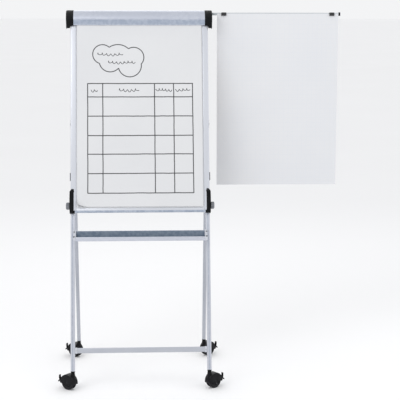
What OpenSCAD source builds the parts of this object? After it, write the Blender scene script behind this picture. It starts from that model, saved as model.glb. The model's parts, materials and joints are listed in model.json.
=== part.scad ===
// Mobile flipchart easel: two leaning front legs, a folding rear frame on braked
// twin-wheel castors, a height-adjustable board with a hinged pad clamp, a pen tray
// and a swing-out side arm that holds a sheet with magnets.
// +X is the user's right, +Y points away from the user, +Z is up. The origin is on
// the floor, midway between the four castor stems. Millimetres.

/* [Stand] */
// Width of a front leg tube, seen from the front
leg_w = 22; // [19:1:27]
// Depth of a front leg tube, front to back
leg_d = 24; // [20:1:28]
// Wall of the leg tubes
leg_wall = 1.8; // [1.5:0.1:2.5]
// Outer corner radius of the leg tubes
leg_r = 4; // [3:0.5:5]
// Lean of the front frame from the vertical, in degrees
lean = 15; // [13:0.5:17]
// Length of a front leg tube
front_leg_l = 1310; // [1200:10:1560]
// Distance from the top end of a front leg down to the rear frame's hinge
hinge_drop = 27; // [25:1:45]
// Floor distance from the front castor stems to the rear ones
base_depth = 580; // [490:10:690]
// Width of a rear leg tube, seen from the front
rear_leg_w = 19; // [16:1:20]
// Depth of a rear leg tube
rear_leg_d = 22; // [18:1:24]

/* [Crossbars and pen tray] */
// Height of the front crossbar's middle, along the leg from its lower end
crossbar_at = 105; // [80:5:300]
// Height of a crossbar tube
crossbar_h = 27; // [20:1:32]
// Depth of a crossbar tube
crossbar_d = 18; // [14:1:20]
// Height of the rear crossbar's middle, down the rear leg from the hinge
rear_crossbar_drop = 150; // [120:5:220]
// Height of the tray's floor, along the leg from its lower end
tray_at = 680; // [600:5:700]
// Depth of the tray's floor
tray_depth = 56; // [46:1:68]
// Height of the tray's front lip
tray_lip = 19; // [15:1:24]
// Height of the tray's back wall
tray_back = 44; // [36:1:53]
// Wall of the tray profile
tray_wall = 2; // [1.5:0.5:3]
// Width of the moulded piece at each end of the tray
tray_end_w = 14; // [12:1:17]

/* [Board] */
// Height of the board's lower edge, along the leg from its lower end
board_at = 812; // [790:2:900]
// Width of the frame profiles, seen from the front
frame_w = 30; // [26:1:36]
// Height of the bottom and top frame profiles
rail_h = 25; // [21:1:30]
// Depth of the frame profiles
frame_d = 20; // [18:1:24]
// Thickness of the board's core
core_t = 9; // [8:0.5:11]
// Thickness of the enamelled steel writing sheet
steel_t = 1; // [0.8:0.1:1.2]
// Height of a side bracket that grips the leg
bracket_h = 126; // [105:1:150]
// Width of a side bracket, seen from the front
bracket_w = 22; // [20:1:26]
// Diameter of a clamping knob
knob_d = 38; // [32:1:45]
// Length of a clamping knob
knob_l = 19; // [16:1:23]

/* [Pad and clamp] */
// Width of the paper pad
pad_w = 650; // [540:5:780]
// Height of the paper pad
pad_h = 1000; // [830:5:1200]
// Thickness of the paper pad
pad_t = 8; // [6:0.5:10]
// Diameter of a pad stud
stud_d = 6; // [5:0.5:8]
// Height of the pad clamp, seen from the front
clamp_h = 84; // [75:1:96]
// How far the clamp stands in front of the board's frame
clamp_bulge = 30; // [26:1:36]
// Wall of the clamp profile
clamp_wall = 2.6; // [2:0.2:3.2]
// Length of a clamp end cap
cap_l = 39; // [34:1:44]
// How far an end cap reaches past the side of the board
cap_over = 23; // [20:1:26]
// How much lower the outer part of an end cap reaches
cap_drop = 16; // [13:1:19]

/* [Side arm] */
// Height of the arm bar
arm_h = 14; // [12:1:17]
// Thickness of the arm bar
arm_t = 5; // [4:0.5:6]
// Thickness of the sheet
sheet_t = 1.2; // [1:0.1:1.5]
// Width of a magnet
magnet_w = 27; // [22:1:32]
// Height of a magnet
magnet_h = 18; // [15:1:21]

/* [Castors] */
// Diameter of a castor wheel
wheel_d = 76; // [64:1:90]
// Width of one wheel of a pair
wheel_w = 10; // [8:0.5:12]
// Trail of the axle behind the swivel stem
trail = 28; // [24:1:33]
// Diameter of the swivel stem
stem_d = 11; // [9:0.5:12]
// Diameter of a wheel axle
axle_d = 8; // [7:0.5:9]
// Height of the neck between a castor and its leg tube
neck_h = 15; // [13:1:18]
// Direction in which the castors trail, from straight outwards to the back
trail_turn = 38; // [0:2:60]

/* [Hidden] */
$fn = 48;

// clearances
run_fit = 0.05;      // radial, a pin turning in its bore
slide_fit = 0.5;     // a sliding or a loose piece, each side
face_gap = 0.4;      // between faces of pieces that move past each other
seat = 0.2;          // a plug in its tube, each side

// ends of the leaning frames
wheel_r = wheel_d / 2;
hood_gap = 1.5;
hood_t = 3;
hood_r = wheel_r + hood_gap + hood_t;
castor_h = wheel_r + hood_r + 3.5;
foot_z = castor_h + neck_h;
front_y = -base_depth / 2;
rear_y = base_depth / 2;

// board and legs follow from the pad
pad_side = 5;        // from the pad to the frame profile, each side
pad_above = 28;      // from the pad's top to the board's top
pad_below = 30;      // from the board's lower edge to the pad
leg_inset = 10;      // from the board's side to a leg's middle
board_w = pad_w + 2 * (frame_w + pad_side);
board_h = pad_h + pad_above + pad_below;
leg_x = board_w / 2 - leg_inset;

// rear hinge, in the front frame's own plane and then upright
pin_r = 4;
cheek_t = 3;
knuckle_r = rear_leg_d / 2;
hinge_at = front_leg_l - hinge_drop;
hinge_off = leg_d / 2 + cheek_t + 1 + knuckle_r;
hinge_y = front_y + hinge_at * sin(lean) + hinge_off * cos(lean);
hinge_z = foot_z + hinge_at * cos(lean) - hinge_off * sin(lean);
rear_lean = atan2(rear_y - hinge_y, hinge_z - foot_z);
rear_l = sqrt(pow(rear_y - hinge_y, 2) + pow(hinge_z - foot_z, 2));
knuckle_l = knuckle_r + 8;
cheek_h = 44;

// board, in the front frame's own plane: y is towards the back of the board
board_back = -leg_d / 2 - 1.5;
board_front = board_back - frame_d;
sheet_face = board_front + 3.5;
board_top = board_at + board_h;
inner_w = board_w - 2 * frame_w;
groove = 6;          // how far the panel reaches into the frame
bracket_in = 16;     // how far a bracket covers the front of the frame
bracket_x0 = board_w / 2 - bracket_in;
bracket_x1 = bracket_x0 + bracket_w;
bracket_t = 2.5;
knob_at = board_at + 38;
stud_r = 4;
glide_h = 40;
glide_at = board_at + 170;

// pad clamp
pad_top = board_top - pad_above;
pad_back = sheet_face - 0.3;
pad_front = pad_back - pad_t;
stud_at = board_top - 46;
stud_spacing = pad_w - 100;
hinge_c = [-6, board_top + 2];
clamp_top = board_top + 12;
clamp_low = clamp_top - clamp_h;
crease_z = clamp_top - 0.66 * clamp_h;
clamp_front = board_front - clamp_bulge;
curve_c = [-14, crease_z];
curve_a = curve_c[0] - clamp_front;
curve_b = clamp_top - crease_z;
cap_x0 = board_w / 2 + cap_over - cap_l;
cap_x1 = board_w / 2 + cap_over;
cap_skin = 3;
ear_r = 7;
ear_t = 8;
ear_x = cap_x0 - 20;
roof_y = hinge_c[0] + 4;
lip_y = pad_front - 1;

// side arm, upright frame
arm_x = board_w / 2 - 8;
arm_behind = 21.5;   // from the leg's middle plane back to the arm
arm_y = front_y + (board_top - 6) * sin(lean) + arm_behind * cos(lean);
arm_z = foot_z + board_top * cos(lean) - 1;
arm_pin_r = 4;
arm_hub_r = 11;
hub_top = arm_z + arm_h / 2 + 2;
shelf_top = arm_z - arm_h / 2 - 14;
shelf_t = 6;
hub_roof = 2.5;
tip_w = 9;
sheet_gap = 1;       // between the sheet and the arm's tip
sheet_w = pad_w;
sheet_h = pad_h - 80;
arm_l = sheet_w + 71;
sheet_x = arm_x + arm_l - tip_w - sheet_gap - sheet_w / 2;
magnet_spacing = sheet_w - 72;

// ---------------------------------------------------------------- shared shapes
// A rectangle with round corners, centred
module round_rect(w, h, r) {
    square([w - 2 * r, h], center = true);
    square([w, h - 2 * r], center = true);
    for (sx = [-1, 1], sy = [-1, 1])
        translate([sx * (w / 2 - r), sy * (h / 2 - r)]) circle(r);
}

// A hollow tube section, centred
module tube_section(w, h, r, wall) {
    difference() {
        round_rect(w, h, r);
        round_rect(w - 2 * wall, h - 2 * wall, r - wall);
    }
}

// The front frame's own plane: z runs up the legs, y towards the back
module front_frame() {
    translate([0, front_y, foot_z]) rotate([-lean, 0, 0]) children();
}

// The rear frame's own plane: z runs up the rear legs to the hinge
module rear_frame() {
    translate([0, rear_y, foot_z]) rotate([rear_lean, 0, 0]) children();
}

// Extrudes an outline drawn in (y, z) along X from x0 to x1
module along_x(x0, x1) {
    translate([x0, 0, 0]) rotate([90, 0, 90]) linear_extrude(x1 - x0) children();
}

// A round bar along X
module bar_x(r, x0, x1) {
    translate([x0, 0, 0]) rotate([0, 90, 0]) cylinder(r = r, h = x1 - x0);
}

// Mirrors the right-hand shape to the left when side is -1
module on_side(side) {
    mirror([side < 0 ? 1 : 0, 0, 0]) children();
}

// ---------------------------------------------------------------- front frame
module front_leg(side) {
    slot_w = 3;
    slot_deep = 0.9;
    color("silver") front_frame() translate([side * leg_x, 0, 0]) difference() {
        linear_extrude(front_leg_l) tube_section(leg_w, leg_d, leg_r, leg_wall);
        translate([-slot_w / 2, -leg_d / 2 - 1, -1])
            cube([slot_w, 1 + slot_deep, front_leg_l + 2]);
    }
}

module front_crossbar() {
    socket = 12;
    reach = leg_x - leg_w / 2 - socket + 6;
    color("silver") front_frame() translate([0, 0, crossbar_at])
        rotate([0, 90, 0]) translate([0, 0, -reach]) linear_extrude(2 * reach)
            tube_section(crossbar_h, crossbar_d, 4, 1.5);
}

// A cup at each end of the front crossbar, screwed to the leg
module crossbar_fittings() {
    socket = 12;
    skin = 2;
    color("lightgray") front_frame() for (side = [-1, 1]) on_side(side)
        translate([leg_x - leg_w / 2 - socket, 0, crossbar_at]) difference() {
            rotate([0, 90, 0]) linear_extrude(socket)
                round_rect(crossbar_h + 2 * skin, crossbar_d + 2 * skin, 5);
            rotate([0, 90, 0]) translate([0, 0, -1]) linear_extrude(7)
                round_rect(crossbar_h + 2 * seat, crossbar_d + 2 * seat, 4);
        }
}

module leg_top_plugs() {
    cap_t = 4;
    deep = 20;
    color("black") front_frame() for (side = [-1, 1])
        translate([side * leg_x, 0, front_leg_l]) {
            linear_extrude(cap_t) round_rect(leg_w, leg_d, leg_r);
            translate([0, 0, -deep]) linear_extrude(deep + 1)
                round_rect(leg_w - 2 * leg_wall - 2 * seat, leg_d - 2 * leg_wall - 2 * seat, 2);
        }
}

// The plug in a leg's lower end, drawn in that leg's own frame
module foot_plug(w, d) {
    deep = 34;
    flange = 4;
    linear_extrude(deep) round_rect(w - 2 * leg_wall - 2 * seat, d - 2 * leg_wall - 2 * seat, 2);
    translate([0, 0, -flange]) linear_extrude(flange) round_rect(w, d, leg_r);
}

// The space above a leg tube's lower end, which the upright neck stays out of
module above_foot() {
    translate([-50, -50, 0]) cube([100, 100, 60]);
}

module stem_neck() {
    translate([0, 0, castor_h + face_gap]) cylinder(r = stem_d / 2 + 4.5, h = neck_h + 4);
}

module stem_bore() {
    translate([0, 0, castor_h - 1]) cylinder(r = stem_d / 2 + run_fit, h = neck_h + 11);
}

module front_foot_plugs() {
    color("black") for (side = [-1, 1]) difference() {
        union() {
            front_frame() translate([side * leg_x, 0, 0]) foot_plug(leg_w, leg_d);
            difference() {
                translate([side * leg_x, front_y, 0]) stem_neck();
                front_frame() translate([side * leg_x, 0, 0]) above_foot();
            }
        }
        translate([side * leg_x, front_y, 0]) stem_bore();
    }
}

// The U-shaped bracket behind each front leg, which holds the rear frame's pin
module hinge_brackets() {
    back_y = leg_d / 2;
    cheek_r = hinge_off - back_y;
    gap = rear_leg_w + 2 * slide_fit;
    color("dimgray") front_frame() for (side = [-1, 1])
        translate([side * leg_x, 0, hinge_at]) difference() {
            union() {
                translate([-gap / 2 - cheek_t, back_y, -cheek_h / 2])
                    cube([gap + 2 * cheek_t, cheek_t, cheek_h]);
                for (s = [-1, 1]) translate([s * (gap + cheek_t) / 2, 0, 0]) {
                    translate([-cheek_t / 2, back_y, -cheek_r])
                        cube([cheek_t, cheek_r, 2 * cheek_r]);
                    translate([0, hinge_off, 0]) bar_x(cheek_r, -cheek_t / 2, cheek_t / 2);
                }
            }
            translate([0, hinge_off, 0]) bar_x(pin_r, -gap, gap);
        }
}

module hinge_pins() {
    half = rear_leg_w / 2 + slide_fit + cheek_t;
    head_t = 2.5;
    color("gray") front_frame() for (side = [-1, 1])
        translate([side * leg_x, hinge_off, hinge_at]) {
            bar_x(pin_r, -half - 1, half + 1);
            for (s = [-1, 1]) translate([s * (half + head_t / 2), 0, 0])
                bar_x(pin_r + 2.5, -head_t / 2, head_t / 2);
        }
}

// ---------------------------------------------------------------- pen tray
// The tray hangs level in front of the legs; its end pieces follow the legs' lean
tray_floor_z = foot_z + tray_at * cos(lean);
tray_leg_y = front_y + tray_at * sin(lean) - leg_d / 2 / cos(lean) - face_gap;
tray_y1 = tray_leg_y - 1;
tray_y0 = tray_y1 - tray_depth;
tray_end_x = leg_x - leg_w / 2 + 7;
tray_x = tray_end_x - tray_end_w;
tray_nose = 9;
screw_heights = [8, 34];
screw_x = tray_end_x - 5;

// The rounded lower front corner of a tray outline, from its underside to its face
function nose(front, low, r) =
    [for (a = [270:-15:180]) [front + r + r * cos(a), low + r + r * sin(a)]];

// One continuous outline: underside, nose, beaded lip, floor and raised back wall
module pen_tray() {
    low = tray_floor_z - tray_wall;
    lip_top = tray_floor_z + tray_lip;
    back_top = tray_floor_z + tray_back;
    inner_r = tray_nose - tray_wall;
    color("lightsteelblue") along_x(-tray_x, tray_x) polygon(concat(
        [[tray_y1, low]],
        nose(tray_y0, low, tray_nose),
        [for (a = [180:-30:-60])
            [tray_y0 + tray_wall + tray_wall * cos(a), lip_top + tray_wall * sin(a)]],
        [[tray_y0 + tray_wall, lip_top - 2 * tray_wall]],
        [for (a = [180:15:270]) [tray_y0 + tray_nose + inner_r * cos(a),
            low + tray_nose + inner_r * sin(a)]],
        [[tray_y1 - tray_wall, tray_floor_z], [tray_y1 - tray_wall, back_top],
         [tray_y1, back_top]]));
}

// The moulded end piece, screwed to the front of the leg
module tray_end(side) {
    y0 = tray_y0 - 1.5;
    low = tray_floor_z - tray_wall - 1.5;
    top = tray_floor_z + tray_back + 2;
    corner = 9;
    deep = tray_depth + 60;
    color("lightgray") on_side(side) difference() {
        along_x(tray_x, tray_end_x) polygon(concat(
            [[tray_leg_y + (low - tray_floor_z) * tan(lean), low]],
            nose(y0, low, 12),
            [[y0, tray_floor_z + tray_lip + 3], [y0 + tray_depth / 2, tray_floor_z + tray_lip + 3],
             [tray_y1 - 4, top], [tray_leg_y + (top - tray_floor_z) * tan(lean), top]]));
        translate([tray_end_x - corner, y0 - 1, low + corner]) rotate([-90, 0, 0])
            difference() {
                translate([0, 0, -1]) cube([corner + 1, corner + 1, deep]);
                translate([0, 0, -2]) cylinder(r = corner, h = deep + 2);
            }
        for (h = screw_heights) screw_at(h) {
            translate([0, 0, -5]) cylinder(r = 2.2, h = 80);
            translate([0, 0, 3]) cylinder(r = 4.2, h = 80);
        }
    }
}

// Places a screw's axis square to the leg's front face, at height h above the tray floor
module screw_at(h) {
    translate([screw_x, tray_leg_y + h * tan(lean), tray_floor_z + h])
        rotate([90 - lean, 0, 0]) children();
}

module tray_screws() {
    color("gray") for (side = [-1, 1]) on_side(side) for (h = screw_heights) screw_at(h) {
        translate([0, 0, 0.2]) cylinder(r = 2, h = 4);
        translate([0, 0, 3.2]) cylinder(r = 4, h = 1.6);
    }
}

// ---------------------------------------------------------------- rear frame
module rear_leg(side) {
    color("silver") rear_frame() translate([side * leg_x, 0, 0])
        linear_extrude(rear_l - knuckle_l) tube_section(rear_leg_w, rear_leg_d, leg_r, leg_wall);
}

module rear_crossbar() {
    half = leg_x - rear_leg_w / 2;
    color("silver") rear_frame() translate([-half, 0, rear_l - rear_crossbar_drop])
        rotate([0, 90, 0]) linear_extrude(2 * half)
            tube_section(crossbar_h, crossbar_d, 4, 1.5);
}

// The fitting on each rear leg's upper end, which turns on the hinge pin
module rear_knuckles() {
    deep = 24;
    color("dimgray") rear_frame() for (side = [-1, 1])
        translate([side * leg_x, 0, rear_l]) difference() {
            union() {
                bar_x(knuckle_r, -rear_leg_w / 2, rear_leg_w / 2);
                translate([-rear_leg_w / 2, -knuckle_r, -knuckle_l])
                    cube([rear_leg_w, 2 * knuckle_r, knuckle_l]);
                translate([0, 0, -knuckle_l - deep]) linear_extrude(deep + 1)
                    round_rect(rear_leg_w - 2 * leg_wall - 2 * seat,
                        rear_leg_d - 2 * leg_wall - 2 * seat, 2);
            }
            bar_x(pin_r + run_fit, -rear_leg_w, rear_leg_w);
        }
}

module rear_foot_plugs() {
    color("black") for (side = [-1, 1]) difference() {
        union() {
            rear_frame() translate([side * leg_x, 0, 0]) foot_plug(rear_leg_w, rear_leg_d);
            difference() {
                translate([side * leg_x, rear_y, 0]) stem_neck();
                rear_frame() translate([side * leg_x, 0, 0]) above_foot();
            }
        }
        translate([side * leg_x, rear_y, 0]) stem_bore();
    }
}

// ---------------------------------------------------------------- board
module panel_slab(y0, t) {
    half = inner_w / 2 + groove;
    translate([-half, y0, board_at + rail_h - groove])
        cube([2 * half, t, board_h - 2 * rail_h + 2 * groove]);
}

module writing_sheet() {
    color("whitesmoke") front_frame() panel_slab(sheet_face, steel_t);
}

module panel_core() {
    color("gainsboro") front_frame() panel_slab(sheet_face + steel_t, core_t);
}

// Space that the panel takes in the frame's grooves
module panel_groove() {
    grow = 0.2;
    half = inner_w / 2 + groove + grow;
    translate([-half, sheet_face - grow, board_at + rail_h - groove - grow])
        cube([2 * half, steel_t + core_t + 2 * grow, board_h - 2 * rail_h + 2 * (groove + grow)]);
}

module frame_side(side) {
    r = 4;
    color("silver") front_frame() difference() {
        translate([side * (board_w - frame_w) / 2, board_front + frame_d / 2, board_at])
            linear_extrude(board_h) difference() {
                round_rect(frame_w, frame_d, r);
                translate([side * 2, 0]) square([frame_w - 9, frame_d - 5], center = true);
            }
        panel_groove();
    }
}

module frame_rail(z0) {
    half = inner_w / 2;
    color("silver") front_frame() difference() {
        translate([-half, board_front + frame_d / 2, z0 + rail_h / 2]) rotate([0, 90, 0])
            linear_extrude(2 * half) round_rect(rail_h, frame_d, 4);
        panel_groove();
    }
}

// The side bracket: it hooks round the frame and the leg, and holds the knob's stud
module board_bracket(side) {
    y0 = board_front - bracket_t;
    y1 = leg_d / 2 + 5;
    z0 = board_at - bracket_t;
    arc = 12;
    color("black") front_frame() on_side(side) difference() {
        union() {
            translate([bracket_x0, y0, z0]) cube([bracket_w, y1 - y0, bracket_h - arc]);
            translate([bracket_x0, y0, z0]) cube([bracket_w - arc, y1 - y0, bracket_h]);
            translate([bracket_x1 - arc, y0, z0 + bracket_h - arc]) rotate([-90, 0, 0])
                cylinder(r = arc, h = y1 - y0);
            translate([bracket_x0 - 6, y0, z0]) cube([10, board_back - y0, 14]);
        }
        translate([0, board_front - 0.1, board_at])
            cube([board_w / 2 + 0.1, frame_d + 0.2, bracket_h]);
        translate([leg_x - leg_w / 2 - slide_fit, -leg_d / 2 - slide_fit, z0 - 1])
            cube([leg_w + 2 * slide_fit, leg_d + 2 * slide_fit, bracket_h + 2]);
        translate([leg_x, 0, knob_at]) bar_x(stud_r + run_fit, 0, 60);
    }
}

// Upper guides behind the board, which run along the legs
module leg_glides() {
    wall = 3;
    x0 = leg_x - leg_w / 2 - slide_fit - wall;
    w = leg_w + 2 * (slide_fit + wall);
    y0 = board_back;
    color("black") front_frame() for (side = [-1, 1]) on_side(side) difference() {
        translate([x0, y0, glide_at]) cube([w, leg_d / 2 + slide_fit + wall - y0, glide_h]);
        translate([leg_x - leg_w / 2 - slide_fit, -leg_d / 2 - slide_fit, glide_at - 1])
            cube([leg_w + 2 * slide_fit, leg_d + 2 * slide_fit, glide_h + 2]);
    }
}

module knob(side) {
    x0 = bracket_x1 + face_gap;
    flutes = 14;
    r = knob_d / 2;
    color("dimgray") front_frame() on_side(side) translate([0, 0, knob_at]) {
        difference() {
            bar_x(r, x0, x0 + knob_l);
            for (i = [0:flutes - 1]) rotate([i * 360 / flutes, 0, 0])
                translate([0, 0, r + 0.8]) bar_x(2.4, x0 - 1, x0 + knob_l + 1);
            translate([x0 + knob_l - 2, 0, 0]) bar_x(r - 6, 0, 3);
        }
        bar_x(stud_r, leg_x + leg_w / 2 + 0.2, x0 + 6);
    }
}

module pad_studs() {
    color("gray") front_frame() for (s = [-1, 1])
        translate([s * stud_spacing / 2, pad_front - 3, stud_at]) rotate([-90, 0, 0])
            cylinder(r = stud_d / 2, h = sheet_face - pad_front + 3);
}

module paper_pad() {
    color("white") front_frame() difference() {
        translate([-pad_w / 2, pad_front, pad_top - pad_h]) cube([pad_w, pad_t, pad_h]);
        for (s = [-1, 1]) translate([s * stud_spacing / 2, 0, stud_at]) rotate([90, 0, 0])
            cylinder(r = stud_d / 2 + slide_fit, h = 200, center = true);
    }
}

// ---------------------------------------------------------------- pad clamp
// The plate behind the top of the board, with the ears that the clamp hinges on
module clamp_rail() {
    plate_y = board_back;
    plate_t = 4;
    color("silver") front_frame() difference() {
        union() {
            translate([-ear_x - ear_t, plate_y, board_top - 34])
                cube([2 * (ear_x + ear_t), plate_t, 33]);
            for (side = [-1, 1]) on_side(side) {
                translate([ear_x, plate_y, board_top - 14])
                    cube([ear_t, hinge_c[0] + ear_r - plate_y, hinge_c[1] - board_top + 14]);
                translate([0, hinge_c[0], hinge_c[1]]) bar_x(ear_r, ear_x, ear_x + ear_t);
            }
        }
        translate([0, hinge_c[0], hinge_c[1]]) bar_x(pin_r + run_fit, -board_w, board_w);
    }
}

// Points of the clamp's bulged face in (y, z), from its top to the crease, inset by d
function bulge(d) = [for (a = [90:6:180])
    [curve_c[0] + (curve_a - d) * cos(a), curve_c[1] + (curve_b - d) * sin(a)]];

// The same points from the crease to the top
function bulge_back(d) = [for (a = [180:-6:90])
    [curve_c[0] + (curve_a - d) * cos(a), curve_c[1] + (curve_b - d) * sin(a)]];

// A closed outline under the bulged face, from the roof's back edge down to height low
function hood_outline(d, low) = concat([[roof_y, clamp_top - d]], bulge(d),
    [[lip_y - 4 + d, clamp_low], [lip_y - 4 + d, low], [roof_y, low]]);

// Everything behind the bulged face, inset by d, as a cutter
function hood_cutter(d) = concat([[60, clamp_top - d]], bulge(d),
    [[lip_y - 4 + d, clamp_low], [lip_y - 4 + d, clamp_low - 60], [60, clamp_low - 60]]);

// One outline: roof, bulged face, lip, and back up inside the wall
module clamp_profile() {
    lip_h = 12;
    lip_t = 3;
    color("lightsteelblue") front_frame() along_x(-cap_x0, cap_x0)
        polygon(concat([[roof_y, clamp_top]], bulge(0),
            [[lip_y - lip_t, clamp_low], [lip_y, clamp_low], [lip_y, clamp_low + lip_h],
             [lip_y - lip_t, clamp_low + lip_h]],
            bulge_back(clamp_wall), [[roof_y, clamp_top - clamp_wall]]));
}

// The soft strip on the clamp's lip that grips the pad
module clamp_grip() {
    color("black") front_frame() along_x(-ear_x, ear_x)
        translate([lip_y, clamp_low + 1]) square([0.7, 10]);
}

module clamp_cap(side) {
    proud = 1.6;
    step = board_w / 2 + 2;
    out = cap_x1 - cap_skin;
    spigot = clamp_wall + 0.3;
    boss_r = 6.5;
    color("black") front_frame() on_side(side) difference() {
        union() {
            difference() {
                union() {
                    along_x(cap_x0 + 0.1, cap_x1) polygon(hood_outline(-proud, clamp_low - proud));
                    along_x(step, cap_x1) polygon(hood_outline(-proud, clamp_low - cap_drop));
                }
                along_x(cap_x0 - 1, out) polygon(hood_cutter(1.2));
            }
            along_x(cap_x0 - 12, cap_x0 + 3)
                polygon(concat(bulge(spigot), bulge_back(spigot + 2)));
            along_x(cap_x0 + 0.1, cap_x0 + 3)
                polygon(concat(bulge(0), bulge_back(spigot + 2)));
            translate([0, hinge_c[0], hinge_c[1]]) bar_x(boss_r, ear_x + ear_t + face_gap, out + 1);
        }
        translate([0, hinge_c[0], hinge_c[1]]) bar_x(pin_r, 0, out - 4);
    }
}

module clamp_pins() {
    color("gray") front_frame() for (side = [-1, 1]) on_side(side)
        translate([0, hinge_c[0], hinge_c[1]]) bar_x(pin_r, ear_x - 1, cap_x1 - cap_skin - 5);
}

// ---------------------------------------------------------------- side arm
// The bracket on the back of the board's corner, with a shelf and an upright pin
module arm_bracket() {
    plate_h = 38;
    plate_t = 4;
    plate_top = board_top - 8;
    w = 2 * arm_hub_r;
    color("dimgray") {
        front_frame() translate([arm_x - w / 2, board_back, plate_top - plate_h])
            cube([w - 3, plate_t, plate_h]);
        difference() {
            translate([arm_x - w / 2, arm_y - 40, shelf_top - shelf_t])
                cube([w - 3, 40, shelf_t]);
            front_frame() translate([0, board_back - 80, board_at])
                cube([board_w, 80, 2 * board_h]);
        }
        translate([arm_x, arm_y, shelf_top - shelf_t]) cylinder(r = arm_hub_r - 2, h = shelf_t);
        translate([arm_x, arm_y, shelf_top - 1])
            cylinder(r = arm_pin_r, h = hub_top - hub_roof - slide_fit - shelf_top + 1);
    }
}

module arm_hub() {
    z0 = shelf_top + face_gap;
    color("black") difference() {
        translate([arm_x, arm_y, z0]) cylinder(r = arm_hub_r, h = hub_top - z0);
        translate([arm_x, arm_y, z0 - 1])
            cylinder(r = arm_pin_r + run_fit, h = hub_top - hub_roof - z0 + 1);
        translate([arm_x + arm_hub_r - 5, arm_y - arm_t / 2 - seat, arm_z - arm_h / 2 - seat])
            cube([10, arm_t + 2 * seat, arm_h + 2 * seat]);
    }
}

module arm_bar() {
    x0 = arm_x + arm_hub_r - 5;
    color("silver") translate([x0 + seat, arm_y - arm_t / 2, arm_z - arm_h / 2])
        cube([arm_l - arm_hub_r + 3, arm_t, arm_h]);
}

module arm_tip() {
    skin = 2.5;
    bar_end = arm_x + arm_hub_r - 5 + seat + arm_l - arm_hub_r + 3;
    color("black") difference() {
        translate([arm_x + arm_l - tip_w, arm_y - arm_t / 2 - skin, arm_z - arm_h / 2 - skin])
            cube([tip_w, arm_t + 2 * skin, arm_h + 2 * skin]);
        translate([arm_x + arm_l - tip_w - 1, arm_y - arm_t / 2 - seat, arm_z - arm_h / 2 - seat])
            cube([bar_end + seat - (arm_x + arm_l - tip_w - 1), arm_t + 2 * seat, arm_h + 2 * seat]);
    }
}

sheet_back = arm_y - arm_t / 2 - seat;
sheet_top = arm_z + arm_h / 2 - 4;

module hung_sheet() {
    color("white") translate([sheet_x - sheet_w / 2, sheet_back - sheet_t, sheet_top - sheet_h])
        cube([sheet_w, sheet_t, sheet_h]);
}

// Two block magnets that hold the sheet against the arm bar
module arm_magnets() {
    magnet_t = 8;
    color("black") for (s = [-1, 1])
        translate([sheet_x + s * magnet_spacing / 2, sheet_back - sheet_t - 0.1, arm_z])
            rotate([90, 0, 0]) linear_extrude(magnet_t) round_rect(magnet_w, magnet_h, 3);
}

// ---------------------------------------------------------------- castors
web_t = 12;
wheel_y = web_t / 2 + slide_fit;
cheek_y = wheel_y + wheel_w + 0.8;
cheek_out = cheek_y + 2.4;
brake_c = [trail + hood_r + 3.5, wheel_r - 3];
brake_w = 20;
brake_pin_r = 2;

// A castor's own frame: its stem on Z, trailing along +X, turned to its rest direction
module castor_frame(side, y) {
    translate([side * leg_x, y, 0]) rotate([0, 0, side > 0 ? trail_turn : 180 - trail_turn])
        children();
}

// A round bar across a castor, centred on its middle plane
module bar_y(r, half, x, z) {
    translate([x, half, z]) rotate([90, 0, 0]) cylinder(r = r, h = 2 * half);
}

module castor_housing(side, y) {
    color("black") castor_frame(side, y) difference() {
        union() {
            intersection() {
                bar_y(hood_r, cheek_out, trail, wheel_r);
                translate([trail - hood_r, -cheek_out, wheel_r - 7])
                    cube([2 * hood_r, 2 * cheek_out, 2 * hood_r]);
            }
            bar_y(wheel_r - 8, web_t / 2, trail, wheel_r);
            translate([0, 0, wheel_r + 8]) cylinder(r = stem_d / 2 + 5.5, h = castor_h - wheel_r - 8);
            for (s = [-1, 1]) translate([0, s * (brake_w / 2 + 2), 0]) {
                bar_y(5, 1.5, brake_c[0], brake_c[1]);
                translate([brake_c[0] - 12, -1.5, brake_c[1] - 3]) cube([12, 3, 8]);
            }
        }
        for (s = [-1, 1]) translate([0, s * (web_t / 2 + cheek_y) / 2, 0])
            bar_y(wheel_r + hood_gap, (cheek_y - web_t / 2) / 2, trail, wheel_r);
        bar_y(6.4, brake_w / 2 + 0.5, brake_c[0], brake_c[1]);
        bar_y(axle_d / 2, cheek_out + 1, trail, wheel_r);
        bar_y(brake_pin_r, cheek_out, brake_c[0], brake_c[1]);
        translate([0, 0, castor_h - 24]) cylinder(r = stem_d / 2, h = 30);
    }
}

// The steel swivel stem, the wheels' axle and the brake's pin
module castor_pins(side, y) {
    color("gray") castor_frame(side, y) {
        translate([0, 0, castor_h - 24]) cylinder(r = stem_d / 2, h = 24 + neck_h + 9);
        bar_y(axle_d / 2, cheek_out - 0.5, trail, wheel_r);
        bar_y(brake_pin_r, brake_w / 2 + 3.5, brake_c[0], brake_c[1]);
    }
}

module castor_wheels(side, y) {
    edge = 4;
    hub_r = wheel_r * 0.36;
    rim_r = wheel_r - 10;
    color("dimgray") castor_frame(side, y) for (s = [-1, 1])
        translate([trail, s * wheel_y, wheel_r]) rotate([s * -90, 0, 0]) rotate_extrude()
            polygon(concat([[axle_d / 2 + run_fit, 0], [wheel_r - 1, 0], [wheel_r, 1]],
                [for (a = [0:15:90])
                    [wheel_r - edge + edge * cos(a), wheel_w - edge + edge * sin(a)]],
                [[rim_r, wheel_w], [rim_r - 1.5, wheel_w - 2], [hub_r + 1.5, wheel_w - 2],
                 [hub_r, wheel_w], [axle_d / 2 + run_fit, wheel_w]]));
}

// A rounded link of the brake pedal between two points in (x, z)
module pedal_link(a, b) {
    hull() for (p = [a, b])
        bar_y(2.4, brake_w / 2, brake_c[0] + p[0], brake_c[1] + p[1], $fn = 24);
}

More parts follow.
